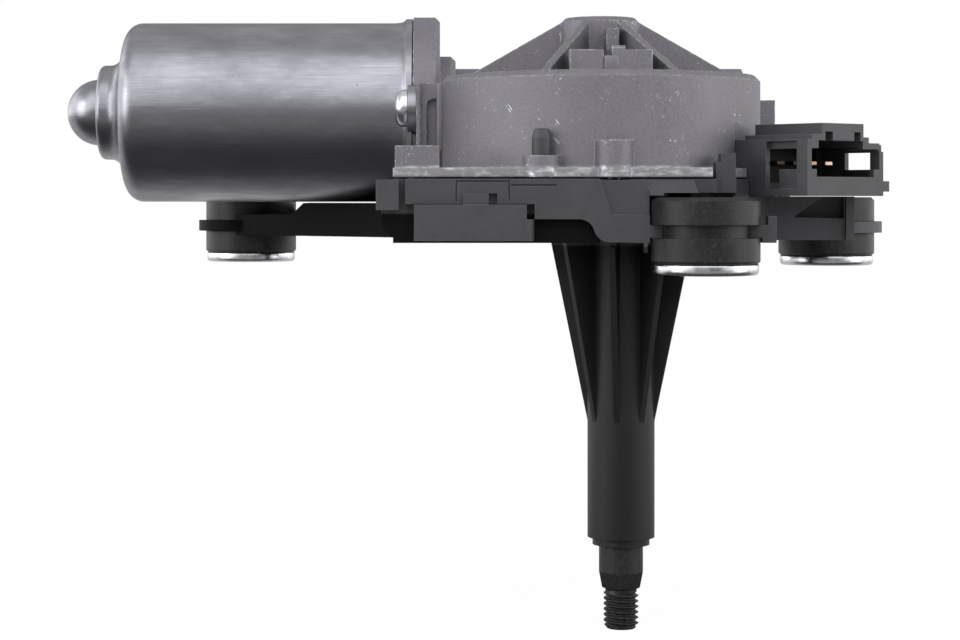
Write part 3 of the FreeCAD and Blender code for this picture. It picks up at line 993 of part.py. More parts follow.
# Vent cover clipped to the front of the skirt: a hollow cap with a notch and a tab
cover = plate("vent_cover_cap", [
    ("-cover_left", "-cover_front"), ("-cover_right - 1.8", "-cover_front", "1.8"),
    ("-cover_right", "-cover_front + 1.8"), ("-cover_right", "-carrier_front - 0.05"),
    ("-cover_left", "-carrier_front - 0.05")], "cover_low", "cover_high")
cover_hollow = box("vent_cover_hollow", "-cover_left + cover_wall", "-cover_right - 3.1",
                   "-cover_front + cover_wall", "-carrier_front", "cover_low + cover_wall", "cover_high - cover_wall")
cover_notch = box("vent_cover_notch", "-cover_right - 1.7", "1 - cover_right", "-cover_front - 1", "-carrier_front",
                  "cover_high - 3.25", "cover_high + 1")
tab = box("vent_cover_tab", "-36.5", "-31", "-skirt_front - 1", "-skirt_front - 0.05", "cover_high - 0.1",
          "cover_high + 2.45")
keep(fused("vent_cover_whole", [cut("vent_cover_shell", cover, [cover_hollow, cover_notch]), tab]), "vent_cover")

# Park switch: two spring fingers on the floor that touch the contact ring, and their lead strips
fingers = []
for number, y in enumerate(("15.0", "23.0")):
    foot = box("finger_foot_%d" % number, "-33", "-19.5", y, y + " + 3", "carrier_high + 0.02",
               "carrier_high + 0.5")
    post = box("finger_post_%d" % number, "-20", "-19.5", y, y + " + 3", "carrier_high + 0.02",
               WHEEL_LOW + " - 0.6")
    fingers.append(fused("finger_%d" % number, [foot, post]))
keep(group("park_contacts", fingers), "park_contacts")

# Connector: a stepped box turned toward the front right, open at its mating end, with side
# windows for the latch of the harness plug, two guide ribs and a lip inside its mouth
HALF = "(plug_width / 2)"
lower_shell = box("plug_shell", "-plug_length", "0", "-" + HALF, HALF, "plug_low", "plug_shoulder")
stepped_top = plate("plug_top", [
    ("-" + HALF, "plug_shoulder - 0.1"), (HALF + " - 1.45", "plug_shoulder - 0.1"),
    (HALF + " - 1.45", "plug_high - 0.7"), (HALF + " - 5.25", "plug_high - 0.7"),
    (HALF + " - 5.25", "plug_high + 0.6"), (HALF + " - 7.15", "plug_high + 0.6"),
    (HALF + " - 7.15", "plug_rail_high"), ("5.05 - " + HALF, "plug_rail_high"),
    ("5.05 - " + HALF, "plug_high + 1.1"), ("1.55 - " + HALF, "plug_high + 1.1"),
    ("1.55 - " + HALF, "plug_high"), ("-" + HALF, "plug_high")],
    "plug_back_step - plug_length", "0", plane="YZ_Plane")
back_step = box("plug_back", "-plug_length", "plug_back_step + 0.1 - plug_length", "-" + HALF, HALF + " - 5.35",
                "plug_shoulder - 0.1", "plug_high")
SOCKET_LOW = "(plug_low + 1.6)"
socket_cuts = [
    box("plug_socket", "-plug_depth", "1", "plug_wall - " + HALF, HALF + " - plug_wall", SOCKET_LOW,
        "plug_shoulder + 0.5"),
    box("plug_socket_top", "-plug_depth", "1", "3.75 - " + HALF, HALF + " - 7.35", "plug_shoulder",
        "plug_roof"),
    box("window_near", "-12.05", "-3.1", "-%s - 1" % HALF, "plug_wall + 0.05 - " + HALF, SOCKET_LOW,
        "plug_roof - 0.1"),
    box("window_far", "-10", "-2.7", HALF + " - plug_wall - 0.05", HALF + " + 1", "plug_guide_high - 0.6",
        "plug_shoulder + 0.5"),
    box("rail_slot_near", "-6", "1", "6.15 - " + HALF, "8.75 - " + HALF, "plug_roof - 0.1", "plug_roof + 2"),
    box("rail_slot_far", "-6", "1", HALF + " - 10.45", HALF + " - 8.25", "plug_roof - 0.1", "plug_roof + 2"),
]
blades = []
for number in range(int(value("blade_count"))):
    middle = "blade_shift + (%d - (blade_count - 1) / 2) * blade_pitch" % number
    socket_cuts.append(box("blade_slot_%d" % number, "-plug_length - 1", "-plug_depth + 1",
                           middle + " - blade_width / 2 - press_gap", middle + " + blade_width / 2 + press_gap",
                           "blade_z - blade_thickness / 2 - press_gap",
                           "blade_z + blade_thickness / 2 + press_gap"))
    blades.append(box("blade_%d" % number, "-plug_length", "-blade_end", middle + " - blade_width / 2",
                      middle + " + blade_width / 2", "blade_z - blade_thickness / 2",
                      "blade_z + blade_thickness / 2"))
socket_parts = [
    box("plug_lip_bar", "-plug_lip", "0", "plug_wall - 0.1 - " + HALF, HALF + " - plug_wall + 0.1",
        SOCKET_LOW + " - 0.1", "plug_lip_high"),
    box("guide_near", "-9.3", "0", "plug_wall - 0.1 - " + HALF, "3.15 - " + HALF, SOCKET_LOW + " - 0.1",
        "plug_guide_high"),
    box("guide_far", "-9.3", "0", HALF + " - 3.45", HALF + " - plug_wall + 0.1", SOCKET_LOW + " - 0.1",
        "plug_guide_high"),
    box("latch_lug", "-3", "0", HALF + " - 0.1", HALF + " + 2.2", "plug_low + 1", "plug_low + 3.4"),
]
open_shell = cut("plug_open", fused("plug_rough", [lower_shell, stepped_top, back_step]), socket_cuts)
plug = fused("plug_housing", [open_shell] + socket_parts)
keep(place(plug, "plug_x", "plug_y", axis=(0, 0, 1), angle="-plug_turn"), "connector_housing")
terminals = group("connector_terminals", blades)
keep(place(terminals, "plug_x", "plug_y", axis=(0, 0, 1), angle="-plug_turn"), "connector_terminals")

doc.recompute()

# Every object has to be sound before anything is written
failed = [item.Name for item in doc.Objects if "Invalid" in item.State or "Error" in item.State]
if failed:
    raise RuntimeError("failed: " + ", ".join(failed))
for item in parts:
    if item.Shape.isNull() or not item.Shape.isValid():
        raise RuntimeError("%s has no sound shape" % item.Label)
os.makedirs("parts", exist_ok=True)
for item in parts:
    item.Shape.exportStep("parts/%s.step" % item.Label)
print("%d sub-parts" % len(parts))
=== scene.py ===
import math

import bmesh
import bpy
from mathutils import Matrix, Vector


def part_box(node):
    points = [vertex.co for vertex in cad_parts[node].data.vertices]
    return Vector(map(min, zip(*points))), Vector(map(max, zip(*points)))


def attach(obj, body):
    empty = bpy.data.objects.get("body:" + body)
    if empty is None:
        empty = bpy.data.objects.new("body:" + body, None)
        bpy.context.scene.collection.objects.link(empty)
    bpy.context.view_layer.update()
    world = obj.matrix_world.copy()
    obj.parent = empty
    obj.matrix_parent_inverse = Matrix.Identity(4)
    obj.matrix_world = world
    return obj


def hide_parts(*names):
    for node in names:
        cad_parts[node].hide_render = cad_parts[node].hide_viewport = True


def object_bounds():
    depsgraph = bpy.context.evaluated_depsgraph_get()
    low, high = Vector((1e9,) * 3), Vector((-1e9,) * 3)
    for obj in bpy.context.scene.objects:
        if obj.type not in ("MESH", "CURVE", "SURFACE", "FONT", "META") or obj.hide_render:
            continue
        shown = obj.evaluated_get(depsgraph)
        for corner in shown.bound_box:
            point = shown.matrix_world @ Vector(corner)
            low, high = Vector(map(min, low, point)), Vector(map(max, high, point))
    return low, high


# A rear wiper motor, photographed from its side with the spindle pointing down. The packed
# solids give the main shapes. This script gives them their surfaces, and draws the sleeves,
# screws, spindle and motor can again with the edges, thread and serrations of real ones.
# Metres, with the spindle axis on Z and the mounting plane at Z = 0.
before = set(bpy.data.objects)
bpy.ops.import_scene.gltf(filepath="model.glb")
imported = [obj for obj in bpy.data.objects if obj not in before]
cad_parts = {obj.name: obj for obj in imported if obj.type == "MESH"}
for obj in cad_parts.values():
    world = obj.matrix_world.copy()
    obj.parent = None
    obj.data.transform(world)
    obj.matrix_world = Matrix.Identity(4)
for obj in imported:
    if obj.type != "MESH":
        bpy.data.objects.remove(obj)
cad_low, cad_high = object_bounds()
MM = 0.001


# Carrier: one moulding of black glass-filled polyamide, with the gearbox floor, the skirt,
# the three forks of the rubber mounts and the ribbed tower. A cover of the same plastic is
# clipped on. Five screws from below hold the carrier to the cast housing.
def linear(hex_code):
    """The linear colour of an sRGB hex code, as Blender's sockets take it."""
    channels = [int(hex_code[i:i + 2], 16) / 255 for i in (1, 3, 5)]
    return tuple([c / 12.92 if c < 0.04045 else ((c + 0.055) / 1.055) ** 2.4
                  for c in channels] + [1.0])


def add(tree, kind, **settings):
    """Adds a node. A small first letter is a property, a capital one a socket, _0 a numbered
    socket. A socket's value is a plain value or the output that it is linked to."""
    item = tree.nodes.new("ShaderNode" + kind)
    for name, what in settings.items():
        if name[0].islower():
            setattr(item, name, what)
            continue
        socket = item.inputs[int(name[1:]) if name[0] == "_" else name.replace("_", " ")]
        if isinstance(what, bpy.types.NodeSocket):
            tree.links.new(what, socket)
        else:
            socket.default_value = what
    return item


def new_material(name):
    """An empty material: its node tree, its shader and where the surface's point is read."""
    made = bpy.data.materials.new(name)
    made.use_nodes = True
    tree = made.node_tree
    shader = tree.nodes["Principled BSDF"]
    spot = add(tree, "TexCoord").outputs["Object"]
    return made, tree, shader, spot


def speckle(tree, spot, size, low, high, stretch=(1, 1, 1), detail=3.0):
    """Grains of one size in metres, as a factor that runs from 0 to 1 between two levels of
    the noise. A stretch below 1 draws them out along that axis."""
    scaled = add(tree, "Mapping", Vector=spot, Scale=tuple(s / size for s in stretch))
    grain = add(tree, "TexNoise", Vector=scaled.outputs[0], Scale=1.0, Detail=detail,
                Roughness=0.6)
    return add(tree, "MapRange", Value=grain.outputs["Fac"], From_Min=low,
               From_Max=high).outputs[0]


def worn_edge(tree, radius, reach):
    """How sharply the surface bends within a radius: 0 on a flat, 1 on an edge."""
    rounded = add(tree, "Bevel", samples=6, Radius=radius).outputs[0]
    flat = add(tree, "NewGeometry").outputs["Normal"]
    turn = add(tree, "VectorMath", operation="DOT_PRODUCT", _0=rounded, _1=flat).outputs["Value"]
    return add(tree, "MapRange", Value=turn, From_Min=1.0, From_Max=reach).outputs[0]


def finish_surface(tree, shader, height, distance, strength, edge):
    """Sets the bump of the grain over edges that are rounded a little."""
    soft = add(tree, "Bevel", samples=4, Radius=edge).outputs[0]
    bump = add(tree, "Bump", Height=height, Distance=distance, Strength=strength, Normal=soft)
    tree.links.new(bump.outputs[0], shader.inputs["Normal"])


def dress(material, *names):
    """Gives CAD nodes their material."""
    for name in names:
        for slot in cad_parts[name].material_slots:
            slot.material = material


def zone(tree, place, low, high, soft):
    """One inside a box given in millimetres, and nothing outside it. The box is open where a
    bound is None, and its sides blend over twice the soft width."""
    share = None
    for axis, start, stop in zip("XYZ", low, high):
        for edge, sign in ((start, 1), (stop, -1)):
            if edge is None:
                continue
            step = add(tree, "MapRange", Value=place.outputs[axis],
                       From_Min=(edge - sign * soft) * MM, From_Max=(edge + sign * soft) * MM)
            share = step.outputs[0] if share is None else add(
                tree, "Math", operation="MULTIPLY", _0=share, _1=step.outputs[0]).outputs[0]
    return share


SPECK_SHARE, RUB_SHARE = 0.3, 0.35
PLAIN_LEVEL = 0.5
SEAM_CORE, SEAM_EDGE = 0.08 * MM, 0.16 * MM


def moulded_plastic(name, colour, light, roughness, grain, shade_zones, seam=None, turned=None):
    """Black plastic from an eroded mould: satin, with a fine grain and paler worn edges. A
    shade zone is a box, its soft width, a black and a specular level: a place of painted shade,
    drawn deeper black and less glossy than the rest. The slides of the mould meet in a fine seam
    at one level. Turned gives the shade zones their own place and angle."""
    made, tree, shader, spot = new_material(name)
    fine = speckle(tree, spot, size=grain, low=0.3, high=0.7)
    cloud = speckle(tree, spot, size=9 * MM, low=0.35, high=0.65)
    edge = worn_edge(tree, radius=0.3 * MM, reach=0.75)
    tone = add(tree, "MixRGB", Fac=cloud, Color1=linear(colour), Color2=linear(light))
    speck = add(tree, "Math", operation="MULTIPLY", _0=fine, _1=SPECK_SHARE)
    mottled = add(tree, "MixRGB", Fac=speck.outputs[0], Color1=tone.outputs[0],
                  Color2=linear("#4a494d"))
    rubbed = add(tree, "Math", operation="MULTIPLY", _0=edge, _1=RUB_SHARE)
    worn = add(tree, "MixRGB", Fac=rubbed.outputs[0], Color1=mottled.outputs[0],
               Color2=linear("#6a696e"))
    if turned:
        spot = add(tree, "Mapping", vector_type="TEXTURE", Vector=spot, Location=turned[0],
                   Rotation=(0, 0, turned[1])).outputs[0]
    place = add(tree, "SeparateXYZ", Vector=spot)
    surface, gleam = worn, None
    # Each zone paints shade: a deeper black and a lower specular level.
    for low, high, soft, black, level in shade_zones:
        share = zone(tree, place, low, high, soft)
        surface = add(tree, "MixRGB", Fac=share, Color1=surface.outputs[0],
                      Color2=linear(black))
        start = (PLAIN_LEVEL, PLAIN_LEVEL, PLAIN_LEVEL, 1) if gleam is None else gleam.outputs[0]
        gleam = add(tree, "MixRGB", Fac=share, Color1=start, Color2=(level, level, level, 1))
    tree.links.new(gleam.outputs[0], shader.inputs["Specular IOR Level"])
    if seam is not None:
        off = add(tree, "Math", operation="SUBTRACT", _0=place.outputs["Z"], _1=seam)
        gap = add(tree, "Math", operation="ABSOLUTE", _0=off.outputs[0])
        line = add(tree, "MapRange", Value=gap.outputs[0], From_Min=SEAM_EDGE,
                   From_Max=SEAM_CORE)
        surface = add(tree, "MixRGB", Fac=line.outputs[0], Color1=surface.outputs[0],
                      Color2=linear("#070708"))
    rough = add(tree, "MapRange", Value=fine, To_Min=roughness - 0.06, To_Max=roughness + 0.08)
    tree.links.new(surface.outputs[0], shader.inputs["Base Color"])
    tree.links.new(rough.outputs[0], shader.inputs["Roughness"])
    shader.inputs["IOR"].default_value = 1.53
    finish_surface(tree, shader, fine, distance=0.02 * MM, strength=0.5, edge=0.2 * MM)
    return made


# The grain of such a mould is about 0.05 mm: it is drawn 0.35 mm wide so that it shows.
MOULD_GRAIN = 0.35 * MM
SATIN = 0.5
TOWER_SEAM = -17.5 * MM
# Places of painted shade, drawn deeper black and less glossy: all below 6.2 mm, the arm of
# the left mount and the step along the skirt's front.
UNDERSIDE_SHADE = ((None, None, None), (None, None, 6.2), 0.3, "#0e0e0f", 0.4)
LEFT_ARM_SHADE = ((None, 0.0, None), (-47.0, None, 20.0), 1.0, "#0a090a", 0.06)
FRONT_STEP_SHADE = ((-60.0, -22.2, 4.0), (-4.0, -14.0, 13.5), 0.3, "#0a090a", 0.1)
carrier_plastic = moulded_plastic("moulded_black_polyamide", "#2f2e32", "#37363b", SATIN,
                                  MOULD_GRAIN, (UNDERSIDE_SHADE, LEFT_ARM_SHADE, FRONT_STEP_SHADE), TOWER_SEAM)
dress(carrier_plastic, "base_carrier", "vent_cover")


# Connector: the socket of the harness plug, a box of black polyester turned toward the front.
# Its roof ends over the far wall in a thicker edge. The locating pin and the brush plate are
# moulded from the same plastic, which is a little darker than the carrier's.
PLUG_PLACE = Vector((49.71 * MM, -11.42 * MM, 0))
PLUG_TURN = math.radians(-49)
# Painted shade: the inside of the socket is drawn deeper black and less glossy.
SOCKET_SHADE = ((-30.0, -10.7, 20.4), (-1.2, 10.0, 28.3), 0.2, "#080808", 0.15)
ROOF_EDGE_LOW = (-19.5 * MM, 11.6 * MM, 27.3 * MM)
ROOF_EDGE_HIGH = (-0.1 * MM, 12.9 * MM, 29.1 * MM)
ROOF_EDGE_ROUND = 0.25 * MM
plug_plastic = moulded_plastic("moulded_black_polyester", "#29282b", "#313034", SATIN,
                               MOULD_GRAIN, (SOCKET_SHADE,), turned=(PLUG_PLACE, PLUG_TURN))
dress(plug_plastic, "connector_housing", "locating_pin", "brush_plate")


def finished_piece(name, mesh, crease):
    """A piece from its mesh, smooth except at edges that bend by more than the crease, in
    degrees."""
    data = bpy.data.meshes.new(name)
    mesh.to_mesh(data)
    mesh.free()
    for face in data.polygons:
        face.use_smooth = True
    data.set_sharp_from_angle(angle=math.radians(crease))
    piece = bpy.data.objects.new(name, data)
    bpy.context.scene.collection.objects.link(piece)
    return piece


def block(name, low, high, bevel):
    """A moulded or cast bar between two corners, with rounded edges."""
    mesh = bmesh.new()
    bmesh.ops.create_cube(mesh, size=1.0)
    size = Vector(high) - Vector(low)
    for vertex in mesh.verts:
        vertex.co = Vector(low) + Vector([(c + 0.5) * s for c, s in zip(vertex.co, size)])
    bmesh.ops.bevel(mesh, geom=list(mesh.edges), offset=bevel, segments=3, affect="EDGES",
                    profile=0.5)
    return finished_piece(name, mesh, crease=40)


roof_edge = block("connector_roof_edge", ROOF_EDGE_LOW, ROOF_EDGE_HIGH, ROOF_EDGE_ROUND)
roof_edge.data.transform(Matrix.Translation(PLUG_PLACE) @ Matrix.Rotation(PLUG_TURN, 4, "Z"))
roof_edge.data.materials.append(plug_plastic)
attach(roof_edge, "housing")


# Rubber mounts: three moulded EPDM grommets with a groove that the fork holds. Their mat
# surface is a little dusty with the powder that keeps them from sticking in the box. The
# spindle's seal is of the same rubber.
DUST_SHARE = 0.25


def moulded_rubber():
    """Deep grey, with pale powder in specks and a soft, blurred gloss."""
    made, tree, shader, spot = new_material("moulded_epdm_rubber")
    dust = speckle(tree, spot, size=0.8 * MM, low=0.5, high=0.8)
    cloud = speckle(tree, spot, size=7 * MM, low=0.35, high=0.7)
    tone = add(tree, "MixRGB", Fac=cloud, Color1=linear("#151416"), Color2=linear("#1d1c1f"))
    veil = add(tree, "Math", operation="MULTIPLY", _0=dust, _1=DUST_SHARE)
    dusty = add(tree, "MixRGB", Fac=veil.outputs[0], Color1=tone.outputs[0],
                Color2=linear("#5a585a"))
    rough = add(tree, "MapRange", Value=dust, To_Min=0.42, To_Max=0.6)
    tree.links.new(dusty.outputs[0], shader.inputs["Base Color"])
    tree.links.new(rough.outputs[0], shader.inputs["Roughness"])
    shader.inputs["IOR"].default_value = 1.5
    shader.inputs["Specular IOR Level"].default_value = 0.36
    finish_surface(tree, shader, dust, distance=0.015 * MM, strength=0.4, edge=0.2 * MM)
    return made


dress(moulded_rubber(), "grommet_front", "grommet_right", "grommet_left", "shaft_seal")


# Sleeves: three spacers pressed from steel tube and zinc plated, one in each rubber mount,
# whose flange bears on the panel and ends in a rolled edge. The small steel fittings inside
# the drive are plated the same way.
def zinc_plated_steel(name, colour, light):
    """Bright metal, with a faint milky cloud in the plating and fine handling scratches. Real
    scratches are some hundredths of a millimetre wide: these are coarser, so that they show."""
    made, tree, shader, spot = new_material(name)
    cloud = speckle(tree, spot, size=2.5 * MM, low=0.35, high=0.7)
    scratch = speckle(tree, spot, size=0.5 * MM, low=0.55, high=0.7, stretch=(0.08, 1, 1))
    tone = add(tree, "MixRGB", Fac=cloud, Color1=linear(colour), Color2=linear(light))
    rough = add(tree, "MapRange", Value=cloud, To_Min=0.2, To_Max=0.3)
    tree.links.new(tone.outputs[0], shader.inputs["Base Color"])
    tree.links.new(rough.outputs[0], shader.inputs["Roughness"])
    shader.inputs["Metallic"].default_value = 1.0
    finish_surface(tree, shader, scratch, distance=0.005 * MM, strength=0.3, edge=0.1 * MM)
    return made


zinc = zinc_plated_steel("zinc_plated_steel", "#c2c4c9", "#dcdde0")
dress(zinc, "thrust_screw", "rocker_plate", "bearing_retainer", "wheel_clip", "spindle_clip",
      "brush_springs")


def lathe(name, rows, around, tube=False):
    """A solid of revolution about Z whose rows give a level and a radius, for each angle where
    the radius is a function. A tube joins its last row to its first."""
    mesh = bmesh.new()
    loops = []
    for level, radius in rows:
        reach = radius if callable(radius) else (lambda z, a, r=radius: r)
        angles = [math.tau * i / around for i in range(around)]
        loops.append([mesh.verts.new((reach(level, a) * math.cos(a),
                                      reach(level, a) * math.sin(a), level)) for a in angles])
    pairs = list(zip(loops, loops[1:])) + ([(loops[-1], loops[0])] if tube else [])
    for lower, upper in pairs:
        for i in range(around):
            j = (i + 1) % around
            mesh.faces.new((lower[i], lower[j], upper[j], upper[i]))
    if not tube:
        mesh.faces.new(list(reversed(loops[0])))
        mesh.faces.new(loops[-1])
    bmesh.ops.recalc_face_normals(mesh, faces=list(mesh.faces))
    return finished_piece(name, mesh, crease=35)


def quarter(start, end, steps=8):
    """Rows on a quarter of an oval from one row to another, which leaves along the axis where
    the radius shrinks by its cosine. Swapping the ends gives the hollow bend."""
    return [(start[0] + (end[0] - start[0]) * math.sin(math.pi / 2 * i / steps),
             end[1] + (start[1] - end[1]) * math.cos(math.pi / 2 * i / steps))
            for i in range(steps + 1)]


# The solid is 17.6 mm high. The drawn sleeve is 0.55 mm shorter, so that its upper end stays
# below the rubber's, as in the photograph.
SLEEVE_BORE, SLEEVE_RADIUS, SLEEVE_HIGH = 3.3 * MM, 4.5 * MM, 17.05 * MM
BORE_CHAMFER, END_CHAMFER = 0.3 * MM, 0.4 * MM
FLANGE_RADIUS, FLANGE_THICK = 11.65 * MM, 2.4 * MM
ROLLED, FLANGE_CHAMFER = 0.9 * MM, 0.3 * MM
sleeve_rows = [(BORE_CHAMFER, SLEEVE_BORE), (0.0, SLEEVE_BORE + BORE_CHAMFER)]
sleeve_rows += reversed(quarter((ROLLED, FLANGE_RADIUS), (0.0, FLANGE_RADIUS - ROLLED)))
sleeve_rows += quarter((FLANGE_THICK - FLANGE_CHAMFER, FLANGE_RADIUS),
                       (FLANGE_THICK, FLANGE_RADIUS - FLANGE_CHAMFER), steps=4)
sleeve_rows += [(FLANGE_THICK, SLEEVE_RADIUS), (SLEEVE_HIGH - END_CHAMFER, SLEEVE_RADIUS),
                (SLEEVE_HIGH, SLEEVE_RADIUS - END_CHAMFER), (SLEEVE_HIGH, SLEEVE_BORE)]
for side in ("front", "right", "left"):
    node_low, node_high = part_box("sleeve_" + side)
    sleeve = lathe("spacer_sleeve_" + side, sleeve_rows, around=128, tube=True)
    sleeve.data.transform(Matrix.Translation(((node_low.x + node_high.x) / 2,
                                              (node_low.y + node_high.y) / 2, 0)))
    sleeve.data.materials.append(zinc)
    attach(sleeve, "housing")
    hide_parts("sleeve_" + side)


# Screws: headed and thread-rolled steel with a six-lobed recess. Two bright zinc ones hold
# the motor can by its ears. Five black passivated ones come from below through the carrier.
black_zinc = zinc_plated_steel("black_passivated_zinc", "#2c2b2d", "#3a393c")
LOBES, LOBE_DEPTH = 6, 0.11
POINT_IN, POINT_LONG = 0.3 * MM, 0.4 * MM
HEAD_CHAMFER = 0.15 * MM
DOME_START, RECESS_RIM = 0.25, 1.3
RECESS_DRAFT, RECESS_CONE, CONE_TIP = 0.94, 1.3, 0.1 * MM


def lobed(radius):
    """The outline of a six-lobed recess about a mean radius."""
    return lambda level, angle: radius * (1 + LOBE_DEPTH * math.cos(LOBES * angle))


def screw(name, shank, shank_low, seat, head, top, recess, depth):
    """A screw whose head looks along +Z: its shank, a domed head and the recess. Shank, head
    and recess are radii; shank_low, seat and top are levels."""
    rows = [(shank_low, shank - POINT_IN), (shank_low + POINT_LONG, shank), (seat, shank),
            (seat, head - HEAD_CHAMFER), (seat + HEAD_CHAMFER, head)]
    rows += quarter((seat + (top - seat) * DOME_START, head), (top, recess * RECESS_RIM))
    rows += [(top, lobed(recess)), (top - depth, lobed(recess * RECESS_DRAFT)),
             (top - depth * RECESS_CONE, CONE_TIP)]
    return lathe(name, rows, around=96)


CAN_SCREW = {"shank": 2.5 * MM, "shank_low": 40.7 * MM, "seat": 49.3 * MM, "head": 4.5 * MM,
             "top": 52.35 * MM, "recess": 1.9 * MM, "depth": 1.7 * MM}
MOTOR_Y, MOTOR_Z = 50 * MM, 38.4 * MM
EAR_REACH = 28.2 * MM
TO_THE_LEFT = Matrix.Rotation(math.radians(-90), 4, "Y")
for side, sign in (("front", -1), ("back", 1)):
    piece = screw("can_screw_" + side, **CAN_SCREW)
    ear_place = Matrix.Translation((0, MOTOR_Y + sign * EAR_REACH, MOTOR_Z))
    piece.data.transform(ear_place @ TO_THE_LEFT)
    piece.data.materials.append(zinc)
    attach(piece, "housing")
    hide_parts("can_screws")

CARRIER_SCREW = {"shank": 2.0 * MM, "shank_low": -26.0 * MM, "seat": -15.4 * MM,
                 "head": 3.6 * MM, "top": -13.0 * MM, "recess": 1.45 * MM, "depth": 1.3 * MM}
CARRIER_SCREW_PLACES = ((-2.9, -17.8), (-46.7, -14.5), (-35.5, 56.5), (29, 57), (37.8, 22))
DOWNWARD = Matrix.Rotation(math.pi, 4, "X")
for number, (x, y) in enumerate(CARRIER_SCREW_PLACES):
    piece = screw("carrier_screw_%d" % (number + 1), **CARRIER_SCREW)
    piece.data.transform(Matrix.Translation((x * MM, y * MM, 0)) @ DOWNWARD)
    piece.data.materials.append(black_zinc)
    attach(piece, "housing")
    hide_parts("carrier_screws")


# Output spindle: turned steel, phosphated black, with a serrated taper that the arm bites
# into and a rolled thread for its nut, taken as M8 x 1.25. It stands for the plain solid,
# whose steps it keeps.
def black_phosphated_steel():
    """Dark grey crystals that blur the gloss, with little of the metal's own shine. Real ones
    are about 0.02 mm: they are drawn 0.4 mm wide so that they show."""
    made, tree, shader, spot = new_material("black_phosphated_steel")
    grain = speckle(tree, spot, size=0.4 * MM, low=0.35, high=0.7)
    tone = add(tree, "MixRGB", Fac=grain, Color1=linear("#201f21"), Color2=linear("#333134"))
    rough = add(tree, "MapRange", Value=grain, To_Min=0.38, To_Max=0.55)
    tree.links.new(tone.outputs[0], shader.inputs["Base Color"])
    tree.links.new(rough.outputs[0], shader.inputs["Roughness"])
    shader.inputs["Metallic"].default_value = 0.35
    finish_surface(tree, shader, grain, distance=0.01 * MM, strength=0.3, edge=0.15 * MM)
    return made


phosphated = black_phosphated_steel()
spindle_low, spindle_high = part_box("spindle")
JOURNAL_RADIUS = 5.05 * MM
TAPER_END_RADIUS = 4.35 * MM
NECK_RADIUS = 3.6 * MM
THREAD_RADIUS = 4.0 * MM
THREAD_PITCH = 1.25 * MM
THREAD_DEPTH = 0.72 * MM
CREST_SHARE, FLANK_SHARE = 0.12, 0.7
END_CHAMFER_HIGH, END_CHAMFER_SLOPE = 0.9 * MM, 0.9
SERRATIONS = 48
SERRATION_DEPTH = 0.16 * MM
SERRATION_RISE = 5
JOURNAL_END = -68.8 * MM
TAPER_END = -72.5 * MM
NECK_END = -73.4 * MM
SEAT_RADIUS = 4.4 * MM
SEAT_START = 24.6 * MM
THREAD_END = NECK_END - 0.3 * MM
TAPER_CHAMFER, TAPER_CHAMFER_HIGH = 0.3 * MM, 0.25 * MM
RUN_OUT = 0.1 * MM
THREAD_STEP, SERRATION_STEP = 0.09 * MM, 0.3 * MM


def serrated(level, angle):
    """Radius on the taper: straight V teeth that run out on the journal."""
    along = (level - JOURNAL_END) / (TAPER_END - JOURNAL_END)
    taper = JOURNAL_RADIUS + (TAPER_END_RADIUS - JOURNAL_RADIUS) * along
    tooth = abs((angle * SERRATIONS / math.tau) % 1.0 - 0.5) * 2
    return taper - SERRATION_DEPTH * min(1, SERRATION_RISE * along) * tooth


def threaded(level, angle):
    """Radius on the thread: a rolled 60 degree profile with a chamfered end."""
    phase = ((level / THREAD_PITCH) + angle / math.tau) % 1.0
    flank = max(0.0, min(1.0, (abs(phase - 0.5) * 2 - CREST_SHARE) / FLANK_SHARE))
    above_tip = level - spindle_low.z
    chamfer = THREAD_RADIUS - max(0.0, END_CHAMFER_HIGH - above_tip) * END_CHAMFER_SLOPE
    return min(THREAD_RADIUS - THREAD_DEPTH * flank, chamfer)


def spaced(start, end, step):
    """Levels from one to the other, about a step apart."""
    count = max(1, round(abs(end - start) / step))
    return [start + (end - start) * i / count for i in range(count + 1)]


spindle_rows = [(z, threaded) for z in spaced(spindle_low.z, THREAD_END, THREAD_STEP)]
spindle_rows += [(NECK_END, NECK_RADIUS), (TAPER_END - TAPER_CHAMFER_HIGH, NECK_RADIUS),
                 (TAPER_END, TAPER_END_RADIUS - TAPER_CHAMFER)]
spindle_rows += [(z, serrated)
                 for z in spaced(TAPER_END + RUN_OUT, JOURNAL_END, SERRATION_STEP)]
spindle_rows += [(JOURNAL_END + RUN_OUT, JOURNAL_RADIUS), (SEAT_START, JOURNAL_RADIUS),
                 (SEAT_START, SEAT_RADIUS), (spindle_high.z, SEAT_RADIUS)]
spindle = lathe("output_spindle", spindle_rows, around=192)
spindle.data.materials.append(phosphated)
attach(spindle, "output")
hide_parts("spindle")


# Gear housing: one pressure die casting of aluminium over the drive, with its hub, ribs and
# the neck that takes the motor. The surface is mat grey and cloudy from the die spray, with
# bright bare metal where its edges and brim were knocked.
BRIM_LEVEL, BRIM_FADE = 23.6 * MM, 24.4 * MM
BRIM_SHARE = 0.5
BARE_ROUGHNESS = 0.35


